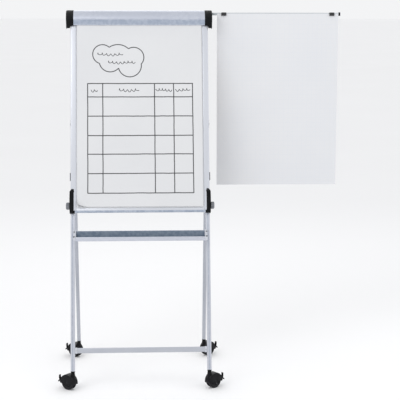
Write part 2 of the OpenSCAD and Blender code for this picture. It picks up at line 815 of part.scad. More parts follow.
// The Y-shaped brake pedal
module castor_brake(side, y) {
    fork = [12, 6];
    release = [15, 32];
    press = [23, -5];
    color("black") castor_frame(side, y) difference() {
        union() {
            bar_y(5, brake_w / 2, brake_c[0], brake_c[1]);
            pedal_link([3, 1.5], fork);
            pedal_link(fork, release);
            pedal_link(fork, press);
        }
        bar_y(brake_pin_r + run_fit, brake_w, brake_c[0], brake_c[1]);
    }
}

front_leg(-1);  // front_leg_left
front_leg(1);  // front_leg_right
front_crossbar();
crossbar_fittings();
pen_tray();
tray_end(-1);  // tray_end_left
tray_end(1);  // tray_end_right
tray_screws();
leg_top_plugs();
hinge_brackets();
hinge_pins();
front_foot_plugs();
rear_leg(-1);  // rear_leg_left
rear_leg(1);  // rear_leg_right
rear_crossbar();
rear_knuckles();
rear_foot_plugs();
writing_sheet();
panel_core();
frame_side(-1);  // frame_side_left
frame_side(1);  // frame_side_right
frame_rail(board_at);  // frame_bottom
frame_rail(board_top - rail_h);  // frame_top
board_bracket(-1);  // board_bracket_left
board_bracket(1);  // board_bracket_right
leg_glides();
clamp_rail();
pad_studs();
paper_pad();
arm_bracket();
knob(-1);  // knob_left
knob(1);  // knob_right
clamp_profile();
clamp_cap(-1);  // clamp_cap_left
clamp_cap(1);  // clamp_cap_right
clamp_grip();
clamp_pins();
arm_hub();
arm_bar();
arm_tip();
arm_magnets();
hung_sheet();
castor_housing(-1, front_y);  // castor_housing_front_left
castor_pins(-1, front_y);  // castor_pins_front_left
castor_wheels(-1, front_y);  // castor_wheels_front_left
castor_brake(-1, front_y);  // castor_brake_front_left
castor_housing(1, front_y);  // castor_housing_front_right
castor_pins(1, front_y);  // castor_pins_front_right
castor_wheels(1, front_y);  // castor_wheels_front_right
castor_brake(1, front_y);  // castor_brake_front_right
castor_housing(-1, rear_y);  // castor_housing_rear_left
castor_pins(-1, rear_y);  // castor_pins_rear_left
castor_wheels(-1, rear_y);  // castor_wheels_rear_left
castor_brake(-1, rear_y);  // castor_brake_rear_left
castor_housing(1, rear_y);  // castor_housing_rear_right
castor_pins(1, rear_y);  // castor_pins_rear_right
castor_wheels(1, rear_y);  // castor_wheels_rear_right
castor_brake(1, rear_y);  // castor_brake_rear_right
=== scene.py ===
import json
import math
import random

import bmesh
import bpy
from mathutils import Matrix, Vector

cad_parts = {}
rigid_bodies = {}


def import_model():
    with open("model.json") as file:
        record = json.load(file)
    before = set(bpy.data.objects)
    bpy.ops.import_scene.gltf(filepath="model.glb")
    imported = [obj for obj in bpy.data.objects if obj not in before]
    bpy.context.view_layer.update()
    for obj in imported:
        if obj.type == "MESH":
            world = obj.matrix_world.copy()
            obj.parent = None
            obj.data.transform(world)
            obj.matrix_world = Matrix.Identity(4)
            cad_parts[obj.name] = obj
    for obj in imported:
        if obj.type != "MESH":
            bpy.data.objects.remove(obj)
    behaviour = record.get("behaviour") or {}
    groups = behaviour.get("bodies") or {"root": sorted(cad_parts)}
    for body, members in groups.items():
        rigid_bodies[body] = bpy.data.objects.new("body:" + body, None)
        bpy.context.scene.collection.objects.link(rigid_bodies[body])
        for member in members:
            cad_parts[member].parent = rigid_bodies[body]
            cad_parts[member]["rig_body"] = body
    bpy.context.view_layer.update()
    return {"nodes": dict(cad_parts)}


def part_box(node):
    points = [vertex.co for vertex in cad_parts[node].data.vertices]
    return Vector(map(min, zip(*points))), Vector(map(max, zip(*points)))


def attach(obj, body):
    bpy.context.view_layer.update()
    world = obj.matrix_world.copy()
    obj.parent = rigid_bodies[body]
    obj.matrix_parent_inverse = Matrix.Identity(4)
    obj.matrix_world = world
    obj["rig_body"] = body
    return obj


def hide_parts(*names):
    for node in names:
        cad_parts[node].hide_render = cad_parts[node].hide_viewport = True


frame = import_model()
cadNodes = frame["nodes"]
print("frame loaded with", len(cadNodes), "parts")

mm = 0.001
scene = bpy.context.scene

# view, floor and lights
viewSettings = {
    "cameraPlace": (0.0249, -6.153, 1.9384),
    "turnRight": 2.688,
    "tiltDown": 9.237,
    "roll": 0.071,
    "lens": 106.53,
    "floorSize": 400.0,
    "floorColour": (0.96, 0.96, 0.965, 1),
    "worldColour": (0.95, 0.955, 0.965, 1),
    "worldStrength": 0.95,
}


def makeCamera():
    data = bpy.data.cameras.new("easelCamera")
    data.lens = viewSettings["lens"]
    data.sensor_width = 36
    data.clip_end = 600
    camera = bpy.data.objects.new("easelCamera", data)
    scene.collection.objects.link(camera)
    turn = Matrix.Rotation(-math.radians(viewSettings["turnRight"]), 4, "Z")
    tilt = Matrix.Rotation(math.radians(90 - viewSettings["tiltDown"]), 4, "X")
    roll = Matrix.Rotation(math.radians(viewSettings["roll"]), 4, "Z")
    camera.matrix_world = Matrix.Translation(viewSettings["cameraPlace"]) @ turn @ tilt @ roll
    scene.camera = camera
    scene.view_settings.view_transform = "Standard"


def softLight(name, place, aim, size, power, colour=(1, 1, 1)):
    data = bpy.data.lights.new(name, "AREA")
    data.energy = power
    data.size = size
    data.color = colour
    lamp = bpy.data.objects.new(name, data)
    scene.collection.objects.link(lamp)
    lamp.location = place
    lamp.rotation_euler = (Vector(aim) - Vector(place)).to_track_quat("-Z", "Y").to_euler()


makeCamera()
softLight("keyLight", (-2.6, -3.4, 4.2), (0.1, 0, 1.1), 2.6, 62)
softLight("fillLight", (3.4, -2.6, 2.6), (0.1, 0, 1.0), 2.8, 16, (0.98, 0.99, 1))
softLight("backLight", (0.4, 3.4, 3.6), (0, 0, 1.2), 2.4, 14)

world = bpy.data.worlds.new("paleRoom")
world.use_nodes = True
world.node_tree.nodes["Background"].inputs["Color"].default_value = viewSettings["worldColour"]
world.node_tree.nodes["Background"].inputs["Strength"].default_value = viewSettings["worldStrength"]
scene.world = world
print("camera and lights placed")


# shared surface effects, one node group each
def newGroup(name, inputs, outputs):
    tree = bpy.data.node_groups.new(name, "ShaderNodeTree")
    for label, value in {"Place": (0.0, 0.0, 0.0), **inputs}.items():
        kind = "NodeSocketVector" if isinstance(value, tuple) else "NodeSocketFloat"
        socket = tree.interface.new_socket(name=label, in_out="INPUT", socket_type=kind)
        socket.default_value = value
    for label in outputs:
        tree.interface.new_socket(name=label, in_out="OUTPUT", socket_type="NodeSocketFloat")
    return tree, tree.nodes.new("NodeGroupInput"), tree.nodes.new("NodeGroupOutput")


def addNode(tree, kind, settings=None, sockets=None):
    node = tree.nodes.new(kind)
    for key, value in (settings or {}).items():
        setattr(node, key, value)
    for key, value in (sockets or {}).items():
        node.inputs[key].default_value = value
    return node


def wire(tree, source, output, target, socket):
    tree.links.new(source.outputs[output], target.inputs[socket])


def patternNode(tree, start, scale, sockets, kind="ShaderNodeTexNoise", settings=None):
    # a texture at the group's Place, as coarse as the input that scale names
    node = addNode(tree, kind, settings, sockets)
    wire(tree, start, "Place", node, "Vector")
    wire(tree, start, scale, node, "Scale")
    return node


def layColour(tree, under, colour, mask):
    # colour laid over a plain colour or a tone, as far as the mask says
    over = addNode(tree, "ShaderNodeMix", {"data_type": "RGBA"})
    over.inputs["B"].default_value = (*colour, 1)
    if isinstance(under, tuple):
        over.inputs["A"].default_value = (*under, 1)
    else:
        tree.links.new(under, over.inputs["A"])
    tree.links.new(mask, over.inputs["Factor"])
    return over.outputs["Result"]


def remap(tree, source, low, high, newLow, newHigh):
    node = addNode(tree, "ShaderNodeMapRange", sockets={
        "From Min": low, "From Max": high, "To Min": newLow, "To Max": newHigh})
    tree.links.new(source, node.inputs["Value"])
    return node.outputs["Result"]


def product(tree, first, second, operation="MULTIPLY"):
    node = addNode(tree, "ShaderNodeMath", {"operation": operation})
    for index, value in enumerate((first, second)):
        if isinstance(value, (int, float)):
            node.inputs[index].default_value = value
        else:
            tree.links.new(value, node.inputs[index])
    return node.outputs[0]


def makeDrawnGrain():
    # fine lines left by the extrusion die, stretched along the profile
    tree, start, end = newGroup(
        "drawnGrain", {"Stretch": (900.0, 900.0, 6.0), "Blotch": 9.0},
        ["Height", "Rough"])
    scaled = addNode(tree, "ShaderNodeVectorMath", {"operation": "MULTIPLY"})
    wire(tree, start, "Place", scaled, 0)
    wire(tree, start, "Stretch", scaled, 1)
    lines = addNode(tree, "ShaderNodeTexNoise", sockets={"Scale": 1, "Detail": 3, "Roughness": 0.6})
    wire(tree, scaled, 0, lines, "Vector")
    cloud = patternNode(tree, start, "Blotch", {"Detail": 2})
    wire(tree, lines, "Fac", end, "Height")
    both = product(tree, lines.outputs["Fac"], cloud.outputs["Fac"], "ADD")
    tree.links.new(remap(tree, both, 0.6, 1.4, 0, 1), end.inputs["Rough"])
    return tree


def makeMouldedGrain():
    # the fine pebbled skin of an injection mould
    tree, start, end = newGroup(
        "mouldedGrain", {"Scale": 1500.0, "Blotch": 35.0},
        ["Height", "Rough"])
    cells = patternNode(tree, start, "Scale", {"Smoothness": 0.6}, "ShaderNodeTexVoronoi",
                        {"feature": "SMOOTH_F1"})
    cloud = patternNode(tree, start, "Blotch", {"Detail": 3})
    wire(tree, cells, "Distance", end, "Height")
    tree.links.new(remap(tree, cloud.outputs["Fac"], 0.35, 0.65, 0, 1), end.inputs["Rough"])
    return tree


def makePaperFibre():
    tree, start, end = newGroup(
        "paperFibre", {"Scale": 420.0, "Blotch": 4.0},
        ["Height", "Rough"])
    fibres = patternNode(tree, start, "Scale", {"Detail": 6, "Roughness": 0.7, "Distortion": 0.6})
    cloud = patternNode(tree, start, "Blotch", {"Detail": 4})
    wire(tree, fibres, "Fac", end, "Height")
    tree.links.new(remap(tree, cloud.outputs["Fac"], 0.3, 0.7, 0, 1), end.inputs["Rough"])
    return tree


def makeEdgeWear():
    # bare, rubbed edges, broken up by noise
    tree, start, end = newGroup(
        "edgeWear", {"Scale": 60.0, "Amount": 0.5}, ["Mask"])
    shape = addNode(tree, "ShaderNodeNewGeometry")
    edge = remap(tree, shape.outputs["Pointiness"], 0.53, 0.6, 0, 1)
    noise = patternNode(tree, start, "Scale", {"Detail": 4})
    broken = product(tree, edge, remap(tree, noise.outputs["Fac"], 0.4, 0.6, 0, 1))
    tree.links.new(product(tree, broken, start.outputs["Amount"]), end.inputs["Mask"])
    return tree


def makeSettledDust():
    # thin dust on faces that look up
    tree, start, end = newGroup(
        "settledDust", {"Scale": 22.0, "Amount": 0.3}, ["Mask"])
    shape = addNode(tree, "ShaderNodeNewGeometry")
    split = addNode(tree, "ShaderNodeSeparateXYZ")
    wire(tree, shape, "Normal", split, 0)
    facing = remap(tree, split.outputs["Z"], 0.35, 1.0, 0, 1)
    noise = patternNode(tree, start, "Scale", {"Detail": 5, "Roughness": 0.65})
    speckled = product(tree, facing, remap(tree, noise.outputs["Fac"], 0.3, 0.75, 0, 1))
    tree.links.new(product(tree, speckled, start.outputs["Amount"]), end.inputs["Mask"])
    return tree


surfaceGroups = {
    "drawn": makeDrawnGrain(), "moulded": makeMouldedGrain(), "paper": makePaperFibre(),
    "wear": makeEdgeWear(), "dust": makeSettledDust()}
print("surface groups ready:", ", ".join(surfaceGroups))

leanAngle = math.radians(15)
rearAngle = math.radians(10.2)
legX, halfBase, legFoot = 350.0, 290.0, 99.0  # leg spacing, floor depth and tube ends, in mm
dustColour = (0.55, 0.54, 0.52)
finishes = {}


def makeFinish(name, colour, shade, rough, grain, size, bump, depth=0.0002, metallic=0.0,
               specular=0.5, wearColour=None, wear=0.0, dust=0.0, tilt=0.0, coat=0.0, grid=None):
    material = bpy.data.materials.new(name)
    material.use_nodes = True
    tree = material.node_tree
    shader = tree.nodes["Principled BSDF"]
    shader.inputs["Metallic"].default_value = metallic
    shader.inputs["Specular IOR Level"].default_value = specular
    shader.inputs["Coat Weight"].default_value = coat
    coords = addNode(tree, "ShaderNodeTexCoord")
    turned = addNode(tree, "ShaderNodeMapping", sockets={"Rotation": (tilt, 0, 0)})
    wire(tree, coords, "Object", turned, "Vector")
    place = turned.outputs["Vector"]
    skin = addNode(tree, "ShaderNodeGroup", {"node_tree": surfaceGroups[grain]})
    tree.links.new(place, skin.inputs["Place"])
    for label, value in size.items():
        skin.inputs[label].default_value = value
    tree.links.new(remap(tree, skin.outputs["Rough"], 0, 1, *rough), shader.inputs["Roughness"])
    tone = layColour(tree, colour, shade, skin.outputs["Rough"])
    layers = [("wear", wearColour, wear, 60.0), ("dust", dustColour, dust, 22.0)]
    for group, layerColour, amount, scale in layers:
        if amount:
            mask = addNode(tree, "ShaderNodeGroup", {"node_tree": surfaceGroups[group]},
                           {"Scale": scale, "Amount": amount})
            tree.links.new(place, mask.inputs["Place"])
            tone = layColour(tree, tone, layerColour, mask.outputs["Mask"])
    if grid:
        tone = ruledGrid(tree, place, tone, *grid)
    tree.links.new(tone, shader.inputs["Base Color"])
    relief = addNode(tree, "ShaderNodeBump", sockets={"Strength": bump, "Distance": depth})
    wire(tree, skin, "Height", relief, "Height")
    wire(tree, relief, "Normal", shader, "Normal")
    finishes[name] = material


def ruledGrid(tree, place, tone, pitch, lineWidth, lineColour):
    # faint printed squares on a sheet that stands in the XZ plane
    split = addNode(tree, "ShaderNodeSeparateXYZ")
    tree.links.new(place, split.inputs[0])
    lines = []
    for axis in ("X", "Z"):
        wrapped = product(tree, split.outputs[axis], pitch, "PINGPONG")
        lines.append(product(tree, wrapped, lineWidth / 2, "LESS_THAN"))
    either = product(tree, lines[0], lines[1], "MAXIMUM")
    return layColour(tree, tone, lineColour, product(tree, either, 0.55))


alongLeg = {"Stretch": (1500.0, 1500.0, 7.0), "Blotch": 7.0}
alongX = {"Stretch": (7.0, 1500.0, 1500.0), "Blotch": 7.0}
pebble = {"Scale": 1400.0, "Blotch": 30.0}


def aluminium(name, colour, shade, rough, size, bump=0.2, metallic=0.78,
              wearColour=(0.85, 0.86, 0.88), wear=0.4, dust=0.1, tilt=0.0):
    makeFinish(name, colour, shade, rough, "drawn", size, bump, metallic=metallic,
               wearColour=wearColour, wear=wear, dust=dust, tilt=tilt)


def moulded(name, colour, shade, rough, bump, size=pebble, **rest):
    makeFinish(name, colour, shade, rough, "moulded", size, bump, **rest)


aluminium("frameAluminium", (0.66, 0.68, 0.73), (0.61, 0.63, 0.68), (0.30, 0.42), alongLeg,
          bump=0.18, metallic=0.75, tilt=leanAngle)
aluminium("legAluminium", (0.58, 0.60, 0.66), (0.51, 0.53, 0.59), (0.28, 0.42), alongLeg, wear=0.45,
          tilt=leanAngle)
# painted shade: the rear legs are coloured darker for the shade they stand in behind the board
aluminium("rearShadedAluminium", (0.48, 0.50, 0.55), (0.41, 0.43, 0.48), (0.3, 0.44), alongLeg, dust=0.12,
          tilt=-rearAngle)
aluminium("barAluminium", (0.54, 0.56, 0.61), (0.46, 0.48, 0.53), (0.28, 0.42), alongX, wear=0.35,
          dust=0.12)
aluminium("clampAluminium", (0.56, 0.59, 0.67), (0.51, 0.54, 0.62), (0.26, 0.38), alongX, bump=0.16,
          metallic=0.8, wearColour=(0.85, 0.87, 0.9), wear=0.35, dust=0.12)
# painted shade: a darker aluminium for the strips that stand for shade under the clamp's crease,
# under the bottom rail and in the leg grooves
aluminium("paintedShadeAluminium", (0.36, 0.41, 0.50), (0.335, 0.385, 0.475), (0.3, 0.42), alongX,
          bump=0.16, metallic=0.8, wearColour=(0.7, 0.74, 0.8), wear=0.3, dust=0.05)
# painted shade: the dark inside of the pen tray
makeFinish("trayPaintedShade", (0.17, 0.22, 0.29), (0.14, 0.185, 0.25), (0.5, 0.65), "drawn", alongX,
           0.25, depth=0.0003, specular=0.3, wearColour=(0.35, 0.4, 0.46), wear=0.3, dust=0.12)
aluminium("trayAluminium", (0.58, 0.60, 0.67), (0.54, 0.56, 0.63), (0.3, 0.44), alongX,
          metallic=0.75, wearColour=(0.82, 0.84, 0.88), dust=0.2)
aluminium("armAluminium", (0.52, 0.56, 0.58), (0.45, 0.49, 0.51), (0.3, 0.42), alongX,
          metallic=0.75, wearColour=(0.82, 0.84, 0.86), wear=0.3)
moulded("blackPlastic", (0.003, 0.0035, 0.004), (0.006, 0.007, 0.008), (0.34, 0.5), 0.25,
        specular=0.12, wearColour=(0.12, 0.12, 0.13), wear=0.4, dust=0.07)
moulded("castorPlastic", (0.0035, 0.0035, 0.005), (0.008, 0.008, 0.010), (0.3, 0.48), 0.22,
        specular=0.14, wearColour=(0.14, 0.14, 0.15), wear=0.55, dust=0.14)
moulded("tyrePlastic", (0.010, 0.010, 0.013), (0.016, 0.016, 0.02), (0.5, 0.7), 0.35,
        size={"Scale": 900.0, "Blotch": 22.0}, depth=0.0003, specular=0.2,
        wearColour=(0.16, 0.155, 0.15), wear=0.6, dust=0.2)
moulded("knobPlastic", (0.22, 0.23, 0.26), (0.18, 0.19, 0.215), (0.4, 0.55), 0.25,
        wearColour=(0.4, 0.41, 0.43), wear=0.5, dust=0.1)
moulded("endPlastic", (0.56, 0.58, 0.63), (0.5, 0.52, 0.57), (0.38, 0.52), 0.22,
        wearColour=(0.72, 0.73, 0.75), wear=0.3, dust=0.1)
moulded("magnetPlastic", (0.005, 0.005, 0.006), (0.009, 0.009, 0.01), (0.2, 0.32), 0.12,
        wearColour=(0.12, 0.12, 0.12), wear=0.4, dust=0.06, coat=0.3)
moulded("gripRubber", (0.03, 0.03, 0.031), (0.045, 0.045, 0.047), (0.7, 0.85), 0.35,
        size={"Scale": 800.0, "Blotch": 40.0}, depth=0.0003, specular=0.3, dust=0.1)
moulded("zincSteel", (0.60, 0.61, 0.62), (0.50, 0.51, 0.53), (0.24, 0.4), 0.12,
        size={"Scale": 300.0, "Blotch": 90.0}, metallic=0.95, wearColour=(0.75, 0.75, 0.75),
        wear=0.5, dust=0.08)
moulded("paintedSteel", (0.07, 0.073, 0.08), (0.055, 0.058, 0.064), (0.42, 0.56), 0.3,
        size={"Scale": 700.0, "Blotch": 25.0}, wearColour=(0.35, 0.35, 0.36), wear=0.4, dust=0.12)
moulded("darkSteel", (0.012, 0.012, 0.014), (0.008, 0.008, 0.010), (0.4, 0.5), 0.2,
        size={"Scale": 700.0, "Blotch": 25.0}, specular=0.3)
moulded("whiteEnamel", (0.80, 0.81, 0.83), (0.76, 0.77, 0.79), (0.1, 0.18), 0.04,
        size={"Scale": 240.0, "Blotch": 6.0}, coat=0.4, dust=0.03)
makeFinish("backBoard", (0.40, 0.345, 0.27), (0.37, 0.315, 0.245), (0.6, 0.75), "paper",
           {"Scale": 260.0, "Blotch": 60.0}, 0.3, depth=0.0004, specular=0.3, dust=0.08)
makeFinish("pagePaper", (0.685, 0.69, 0.70), (0.66, 0.665, 0.68), (0.62, 0.78), "paper",
           {"Scale": 700.0, "Blotch": 3.0}, 0.12, specular=0.25)
makeFinish("sheetPaper", (0.73, 0.735, 0.75), (0.70, 0.71, 0.735), (0.6, 0.76), "paper",
           {"Scale": 700.0, "Blotch": 2.4}, 0.14, specular=0.25,
           grid=(0.0125, 0.0011, (0.66, 0.69, 0.74)))
makeFinish("greyInk", (0.055, 0.056, 0.06), (0.085, 0.086, 0.09), (0.45, 0.6), "paper",
           {"Scale": 500.0, "Blotch": 60.0}, 0.1, depth=0.0001, specular=0.3)
makeFinish("floorPaint", viewSettings["floorColour"][:3], (0.945, 0.945, 0.95), (0.75, 0.9),
           "paper", {"Scale": 40.0, "Blotch": 0.4}, 0.02, depth=0.001, specular=0.15)
print("finishes ready:", len(finishes))


def frontPlane():
    # the leaning plane of the front legs: z runs up the legs, y towards the back
    return Matrix.Translation((0, -halfBase * mm, legFoot * mm)) @ Matrix.Rotation(-leanAngle, 4, "X")


def quarterTurn(axis):
    return Matrix.Rotation(math.pi / 2, 4, axis)


def finishMesh(name, bm, finish, body, replaces=(), place=None, smooth=38, flip=True):
    if place is not None:
        bm.transform(place)
    if flip:
        bmesh.ops.recalc_face_normals(bm, faces=bm.faces)
    mesh = bpy.data.meshes.new(name)
    bm.to_mesh(mesh)
    bm.free()
    return finishObject(name, mesh, finish, body, replaces, smooth)


def finishObject(name, mesh, finish, body, replaces=(), smooth=38):
    mesh.polygons.foreach_set("use_smooth", [True] * len(mesh.polygons))
    mesh.set_sharp_from_angle(angle=math.radians(smooth))
    mesh.materials.clear()
    mesh.materials.append(finishes[finish])
    piece = bpy.data.objects.new(name, mesh)
    scene.collection.objects.link(piece)
    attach(piece, body)
    if replaces:
        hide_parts(*replaces)
    return piece


def bakedMesh(source):
    # the evaluated shape of a helper object, as a plain mesh; the helper goes away
    bpy.context.view_layer.update()
    graph = bpy.context.evaluated_depsgraph_get()
    mesh = bpy.data.meshes.new_from_object(source.evaluated_get(graph))
    old = source.data
    bpy.data.objects.remove(source)
    if old.users == 0:
        bpy.data.meshes.remove(old)
    return mesh


def helperObject(bm):
    mesh = bpy.data.meshes.new("helper")
    bm.to_mesh(mesh)
    bm.free()
    helper = bpy.data.objects.new("helper", mesh)
    scene.collection.objects.link(helper)
    return helper


def modify(helper, kind, **settings):
    modifier = helper.modifiers.new(kind.lower(), kind)
    for key, value in settings.items():
        setattr(modifier, key, value)


def cleanCopy(node):
    # a CAD part's mesh with its points merged and its flat faces made whole
    bm = bmesh.new()
    bm.from_mesh(cadNodes[node].data)
    bmesh.ops.remove_doubles(bm, verts=bm.verts, dist=2e-6)
    bmesh.ops.dissolve_limit(bm, angle_limit=math.radians(0.6), verts=bm.verts, edges=bm.edges)
    return bm


def bridgeRings(bm, rings, closeRings=True, capFirst=True, capLast=True):
    layers = [[bm.verts.new(p) for p in ring] for ring in rings]
    count = len(layers[0])
    span = count if closeRings else count - 1
    for low, high in zip(layers, layers[1:]):
        for i in range(span):
            j = (i + 1) % count
            bm.faces.new((low[i], low[j], high[j], high[i]))
    if capFirst:
        bm.faces.new(layers[0])
    if capLast:
        bm.faces.new(layers[-1])
    return layers


def latheRing(bm, profile, centre, steps, closed=True):
    # spins an (along, radius) profile about a line along Y through the (x, z) centre
    rings = []
    for k in range(steps):
        angle = 2 * math.pi * k / steps
        rings.append([Vector((centre[0] + r * math.cos(angle), t, centre[1] + r * math.sin(angle)))
                      * mm for t, r in profile])
    bridgeRings(bm, rings + [rings[0]], closed, False, False)
    bmesh.ops.remove_doubles(bm, verts=bm.verts, dist=1e-6)


def addRod(bm, radius, length, place, steps=32):
    # a round bar about the Z axis of place
    rod = bmesh.ops.create_cone(bm, cap_ends=True, segments=steps, radius1=radius * mm,
                                radius2=radius * mm, depth=length * mm)
    bmesh.ops.transform(bm, matrix=place, verts=rod["verts"])


def addShape(bm, mesh, place):
    # joins a plain mesh into bm, moved by place
    mesh.transform(place)
    bm.from_mesh(mesh)
    bpy.data.meshes.remove(mesh)


def longStrip(name, section, places, finish, body, plane, replaces=()):
    # a solid strip with the given (y, z) section at each x of places
    bm = bmesh.new()
    bridgeRings(bm, [[Vector((x, y, z)) * mm for y, z in section] for x in places])
    finishMesh(name, bm, finish, body, replaces, plane, smooth=24)


def softenedPart(node, finish, edge):
    # a CAD part that keeps its shape and gets softened edges
    helper = helperObject(cleanCopy(node))
    modify(helper, "BEVEL", width=edge * mm, segments=3, limit_method="ANGLE",
           angle_limit=math.radians(32), miter_outer="MITER_ARC")
    finishObject(node + "Shape", bakedMesh(helper), finish, cadNodes[node]["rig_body"], [node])


sides = ((-1, "Left"), (1, "Right"))
castorNames = ["front_left", "front_right", "rear_left", "rear_right"]
softParts = {
    "legAluminium": ("leg_aluminium", 0.35, ["front_leg_left", "front_leg_right"]),
    "rearShadedAluminium": ("leg_aluminium", 0.4, ["rear_leg_left", "rear_leg_right"]),
    "barAluminium": ("leg_aluminium", 0.4, ["front_crossbar", "rear_crossbar"]),
    "frameAluminium": ("frame_aluminium", 0.4, [
        "frame_side_left", "frame_side_right", "frame_bottom", "frame_top", "clamp_rail"]),
    "trayAluminium": ("tray_aluminium", 0.4, ["pen_tray"]),
    "endPlastic": ("tray_end_plastic", 1.2, ["tray_end_left", "tray_end_right",
                                             "crossbar_fittings"]),
    "blackPlastic": ("black_plastic", 0.9, [
        "leg_top_plugs", "front_foot_plugs", "rear_foot_plugs", "leg_glides", "arm_hub",
        "arm_tip"]),
    "paintedSteel": ("painted_steel", 0.6, ["hinge_brackets", "rear_knuckles", "arm_bracket"]),
    "zincSteel": ("steel", 0.5, ["hinge_pins", "pad_studs", "clamp_pins"]),
    "armAluminium": ("arm_aluminium", 0.7, ["arm_bar"]),
    "castorPlastic": ("castor_plastic", 2.0, ["castor_housing_" + k for k in castorNames]),
}
for finish, (slotName, edge, names) in softParts.items():
    for node in names:
        softenedPart(node, finish, edge)
for node, finish in (("writing_sheet", "whiteEnamel"), ("panel_core", "backBoard"),
                     ("clamp_grip", "gripRubber"),
                     *(("castor_pins_" + k, "darkSteel") for k in castorNames)):
    cadNodes[node].data.materials.clear()
    cadNodes[node].data.materials.append(finishes[finish])
print("softened parts ready")


# Geometry Nodes: screw heads in a row, ribs round a ring, and a stack of pages
def newShapeTree(name, inputs):
    tree = bpy.data.node_groups.new(name, "GeometryNodeTree")
    kinds = {int: "NodeSocketInt", float: "NodeSocketFloat", tuple: "NodeSocketVector",
             type(None): "NodeSocketMaterial"}
    tree.interface.new_socket(name="Geometry", in_out="INPUT", socket_type="NodeSocketGeometry")
    for label, value in inputs.items():
        socket = tree.interface.new_socket(name=label, in_out="INPUT",
                                           socket_type=kinds[type(value)])
        if value is not None:
            socket.default_value = value
    tree.interface.new_socket(name="Geometry", in_out="OUTPUT", socket_type="NodeSocketGeometry")
    return tree, tree.nodes.new("NodeGroupInput"), tree.nodes.new("NodeGroupOutput")


def endTree(tree, start, end, points, shape, turn=None):
    # the shape at each of the points, made real and given its finish
    placed = addNode(tree, "GeometryNodeInstanceOnPoints")
    real = addNode(tree, "GeometryNodeRealizeInstances")
    painted = addNode(tree, "GeometryNodeSetMaterial")
    wire(tree, points, 0, placed, "Points")
    wire(tree, shape, 0, placed, "Instance")
    if turn:
        wire(tree, turn, 0, placed, "Rotation")
    wire(tree, placed, "Instances", real, "Geometry")
    wire(tree, real, "Geometry", painted, "Geometry")
    wire(tree, start, "Finish", painted, "Material")
    wire(tree, painted, "Geometry", end, "Geometry")
    return tree


def nodeShape(tree, values):
    # runs a tree on an empty helper and returns its mesh
    helper = helperObject(bmesh.new())
    modifier = helper.modifiers.new(tree.name, "NODES")
    modifier.node_group = tree
    sockets = {s.name: s.identifier for s in tree.interface.items_tree if s.in_out == "INPUT"}
    for label, value in values.items():
        modifier[sockets[label]] = value
    return bakedMesh(helper)


def makeScrewRow():
    tree, start, end = newShapeTree("screwRow", {
        "Count": 2, "Step": (0.1, 0.0, 0.0), "Head Radius": 0.004, "Head Height": 0.0016,
        "Seed": 3, "Finish": None})
    line = addNode(tree, "GeometryNodeMeshLine", {"mode": "OFFSET"})
    wire(tree, start, "Count", line, "Count")
    wire(tree, start, "Step", line, "Offset")
    head = addNode(tree, "GeometryNodeMeshCone", sockets={"Vertices": 28, "Side Segments": 2})
    topRadius = product(tree, start.outputs["Head Radius"], 0.72)
    tree.links.new(topRadius, head.inputs["Radius Top"])
    wire(tree, start, "Head Radius", head, "Radius Bottom")
    wire(tree, start, "Head Height", head, "Depth")
    cut = addNode(tree, "GeometryNodeMeshBoolean", {"operation": "DIFFERENCE"})
    wire(tree, head, "Mesh", cut, "Mesh 1")
    for turned in (False, True):
        slot = addNode(tree, "GeometryNodeMeshCube")
        size = addNode(tree, "ShaderNodeCombineXYZ")
        shortSide = product(tree, start.outputs["Head Radius"], 0.26)
        wire(tree, start, "Head Radius", size, "Y" if turned else "X")
        tree.links.new(shortSide, size.inputs["X" if turned else "Y"])
        wire(tree, start, "Head Height", size, "Z")
        wire(tree, size, 0, slot, "Size")
        lifted = addNode(tree, "GeometryNodeTransform")
        lift = addNode(tree, "ShaderNodeCombineXYZ")
        wire(tree, start, "Head Height", lift, "Z")
        wire(tree, slot, "Mesh", lifted, "Geometry")
        wire(tree, lift, 0, lifted, "Translation")
        wire(tree, lifted, "Geometry", cut, "Mesh 2")
    spin = addNode(tree, "FunctionNodeRandomValue", {"data_type": "FLOAT_VECTOR"})
    spin.inputs[0].default_value = (0, 0, 0)
    spin.inputs[1].default_value = (0, 0, 3.1)
    wire(tree, start, "Seed", spin, "Seed")
    return endTree(tree, start, end, line, cut, spin)


def makeRibRing():
    # half-round ribs standing round a circle about Z
    tree, start, end = newShapeTree("ribRing", {
        "Count": 14, "Ring Radius": 0.017, "Rib Radius": 0.0024, "Rib Height": 0.017,
        "Finish": None})
    ring = addNode(tree, "GeometryNodeMeshCircle")
    wire(tree, start, "Count", ring, "Vertices")
    wire(tree, start, "Ring Radius", ring, "Radius")
    rib = addNode(tree, "GeometryNodeMeshCylinder", sockets={"Vertices": 12})
    wire(tree, start, "Rib Radius", rib, "Radius")
    wire(tree, start, "Rib Height", rib, "Depth")
    return endTree(tree, start, end, ring, rib)


def makePageStack():
    tree, start, end = newShapeTree("pageStack", {
        "Count": 14, "Page Size": (0.65, 0.0004, 1.0), "Pitch": (0.0, 0.0005, 0.0),
        "Slip": 0.0004, "Seed": 11, "Finish": None})
    line = addNode(tree, "GeometryNodeMeshLine", {"mode": "OFFSET"})
    wire(tree, start, "Count", line, "Count")
    wire(tree, start, "Pitch", line, "Offset")
    page = addNode(tree, "GeometryNodeMeshCube")
    wire(tree, start, "Page Size", page, "Size")
    slip = addNode(tree, "FunctionNodeRandomValue", {"data_type": "FLOAT_VECTOR"})
    slip.inputs[0].default_value = (-1, 0, -1)
    slip.inputs[1].default_value = (1, 0, 1)
    wire(tree, start, "Seed", slip, "Seed")
    small = addNode(tree, "ShaderNodeVectorMath", {"operation": "SCALE"})
    wire(tree, slip, 0, small, 0)
    wire(tree, start, "Slip", small, "Scale")
    moved = addNode(tree, "GeometryNodeSetPosition")
    wire(tree, line, "Mesh", moved, "Geometry")
    wire(tree, small, 0, moved, "Offset")
    return endTree(tree, start, end, moved, page)


screwTree = makeScrewRow()
ribTree = makeRibRing()
pageTree = makePageStack()
print("shape trees ready")


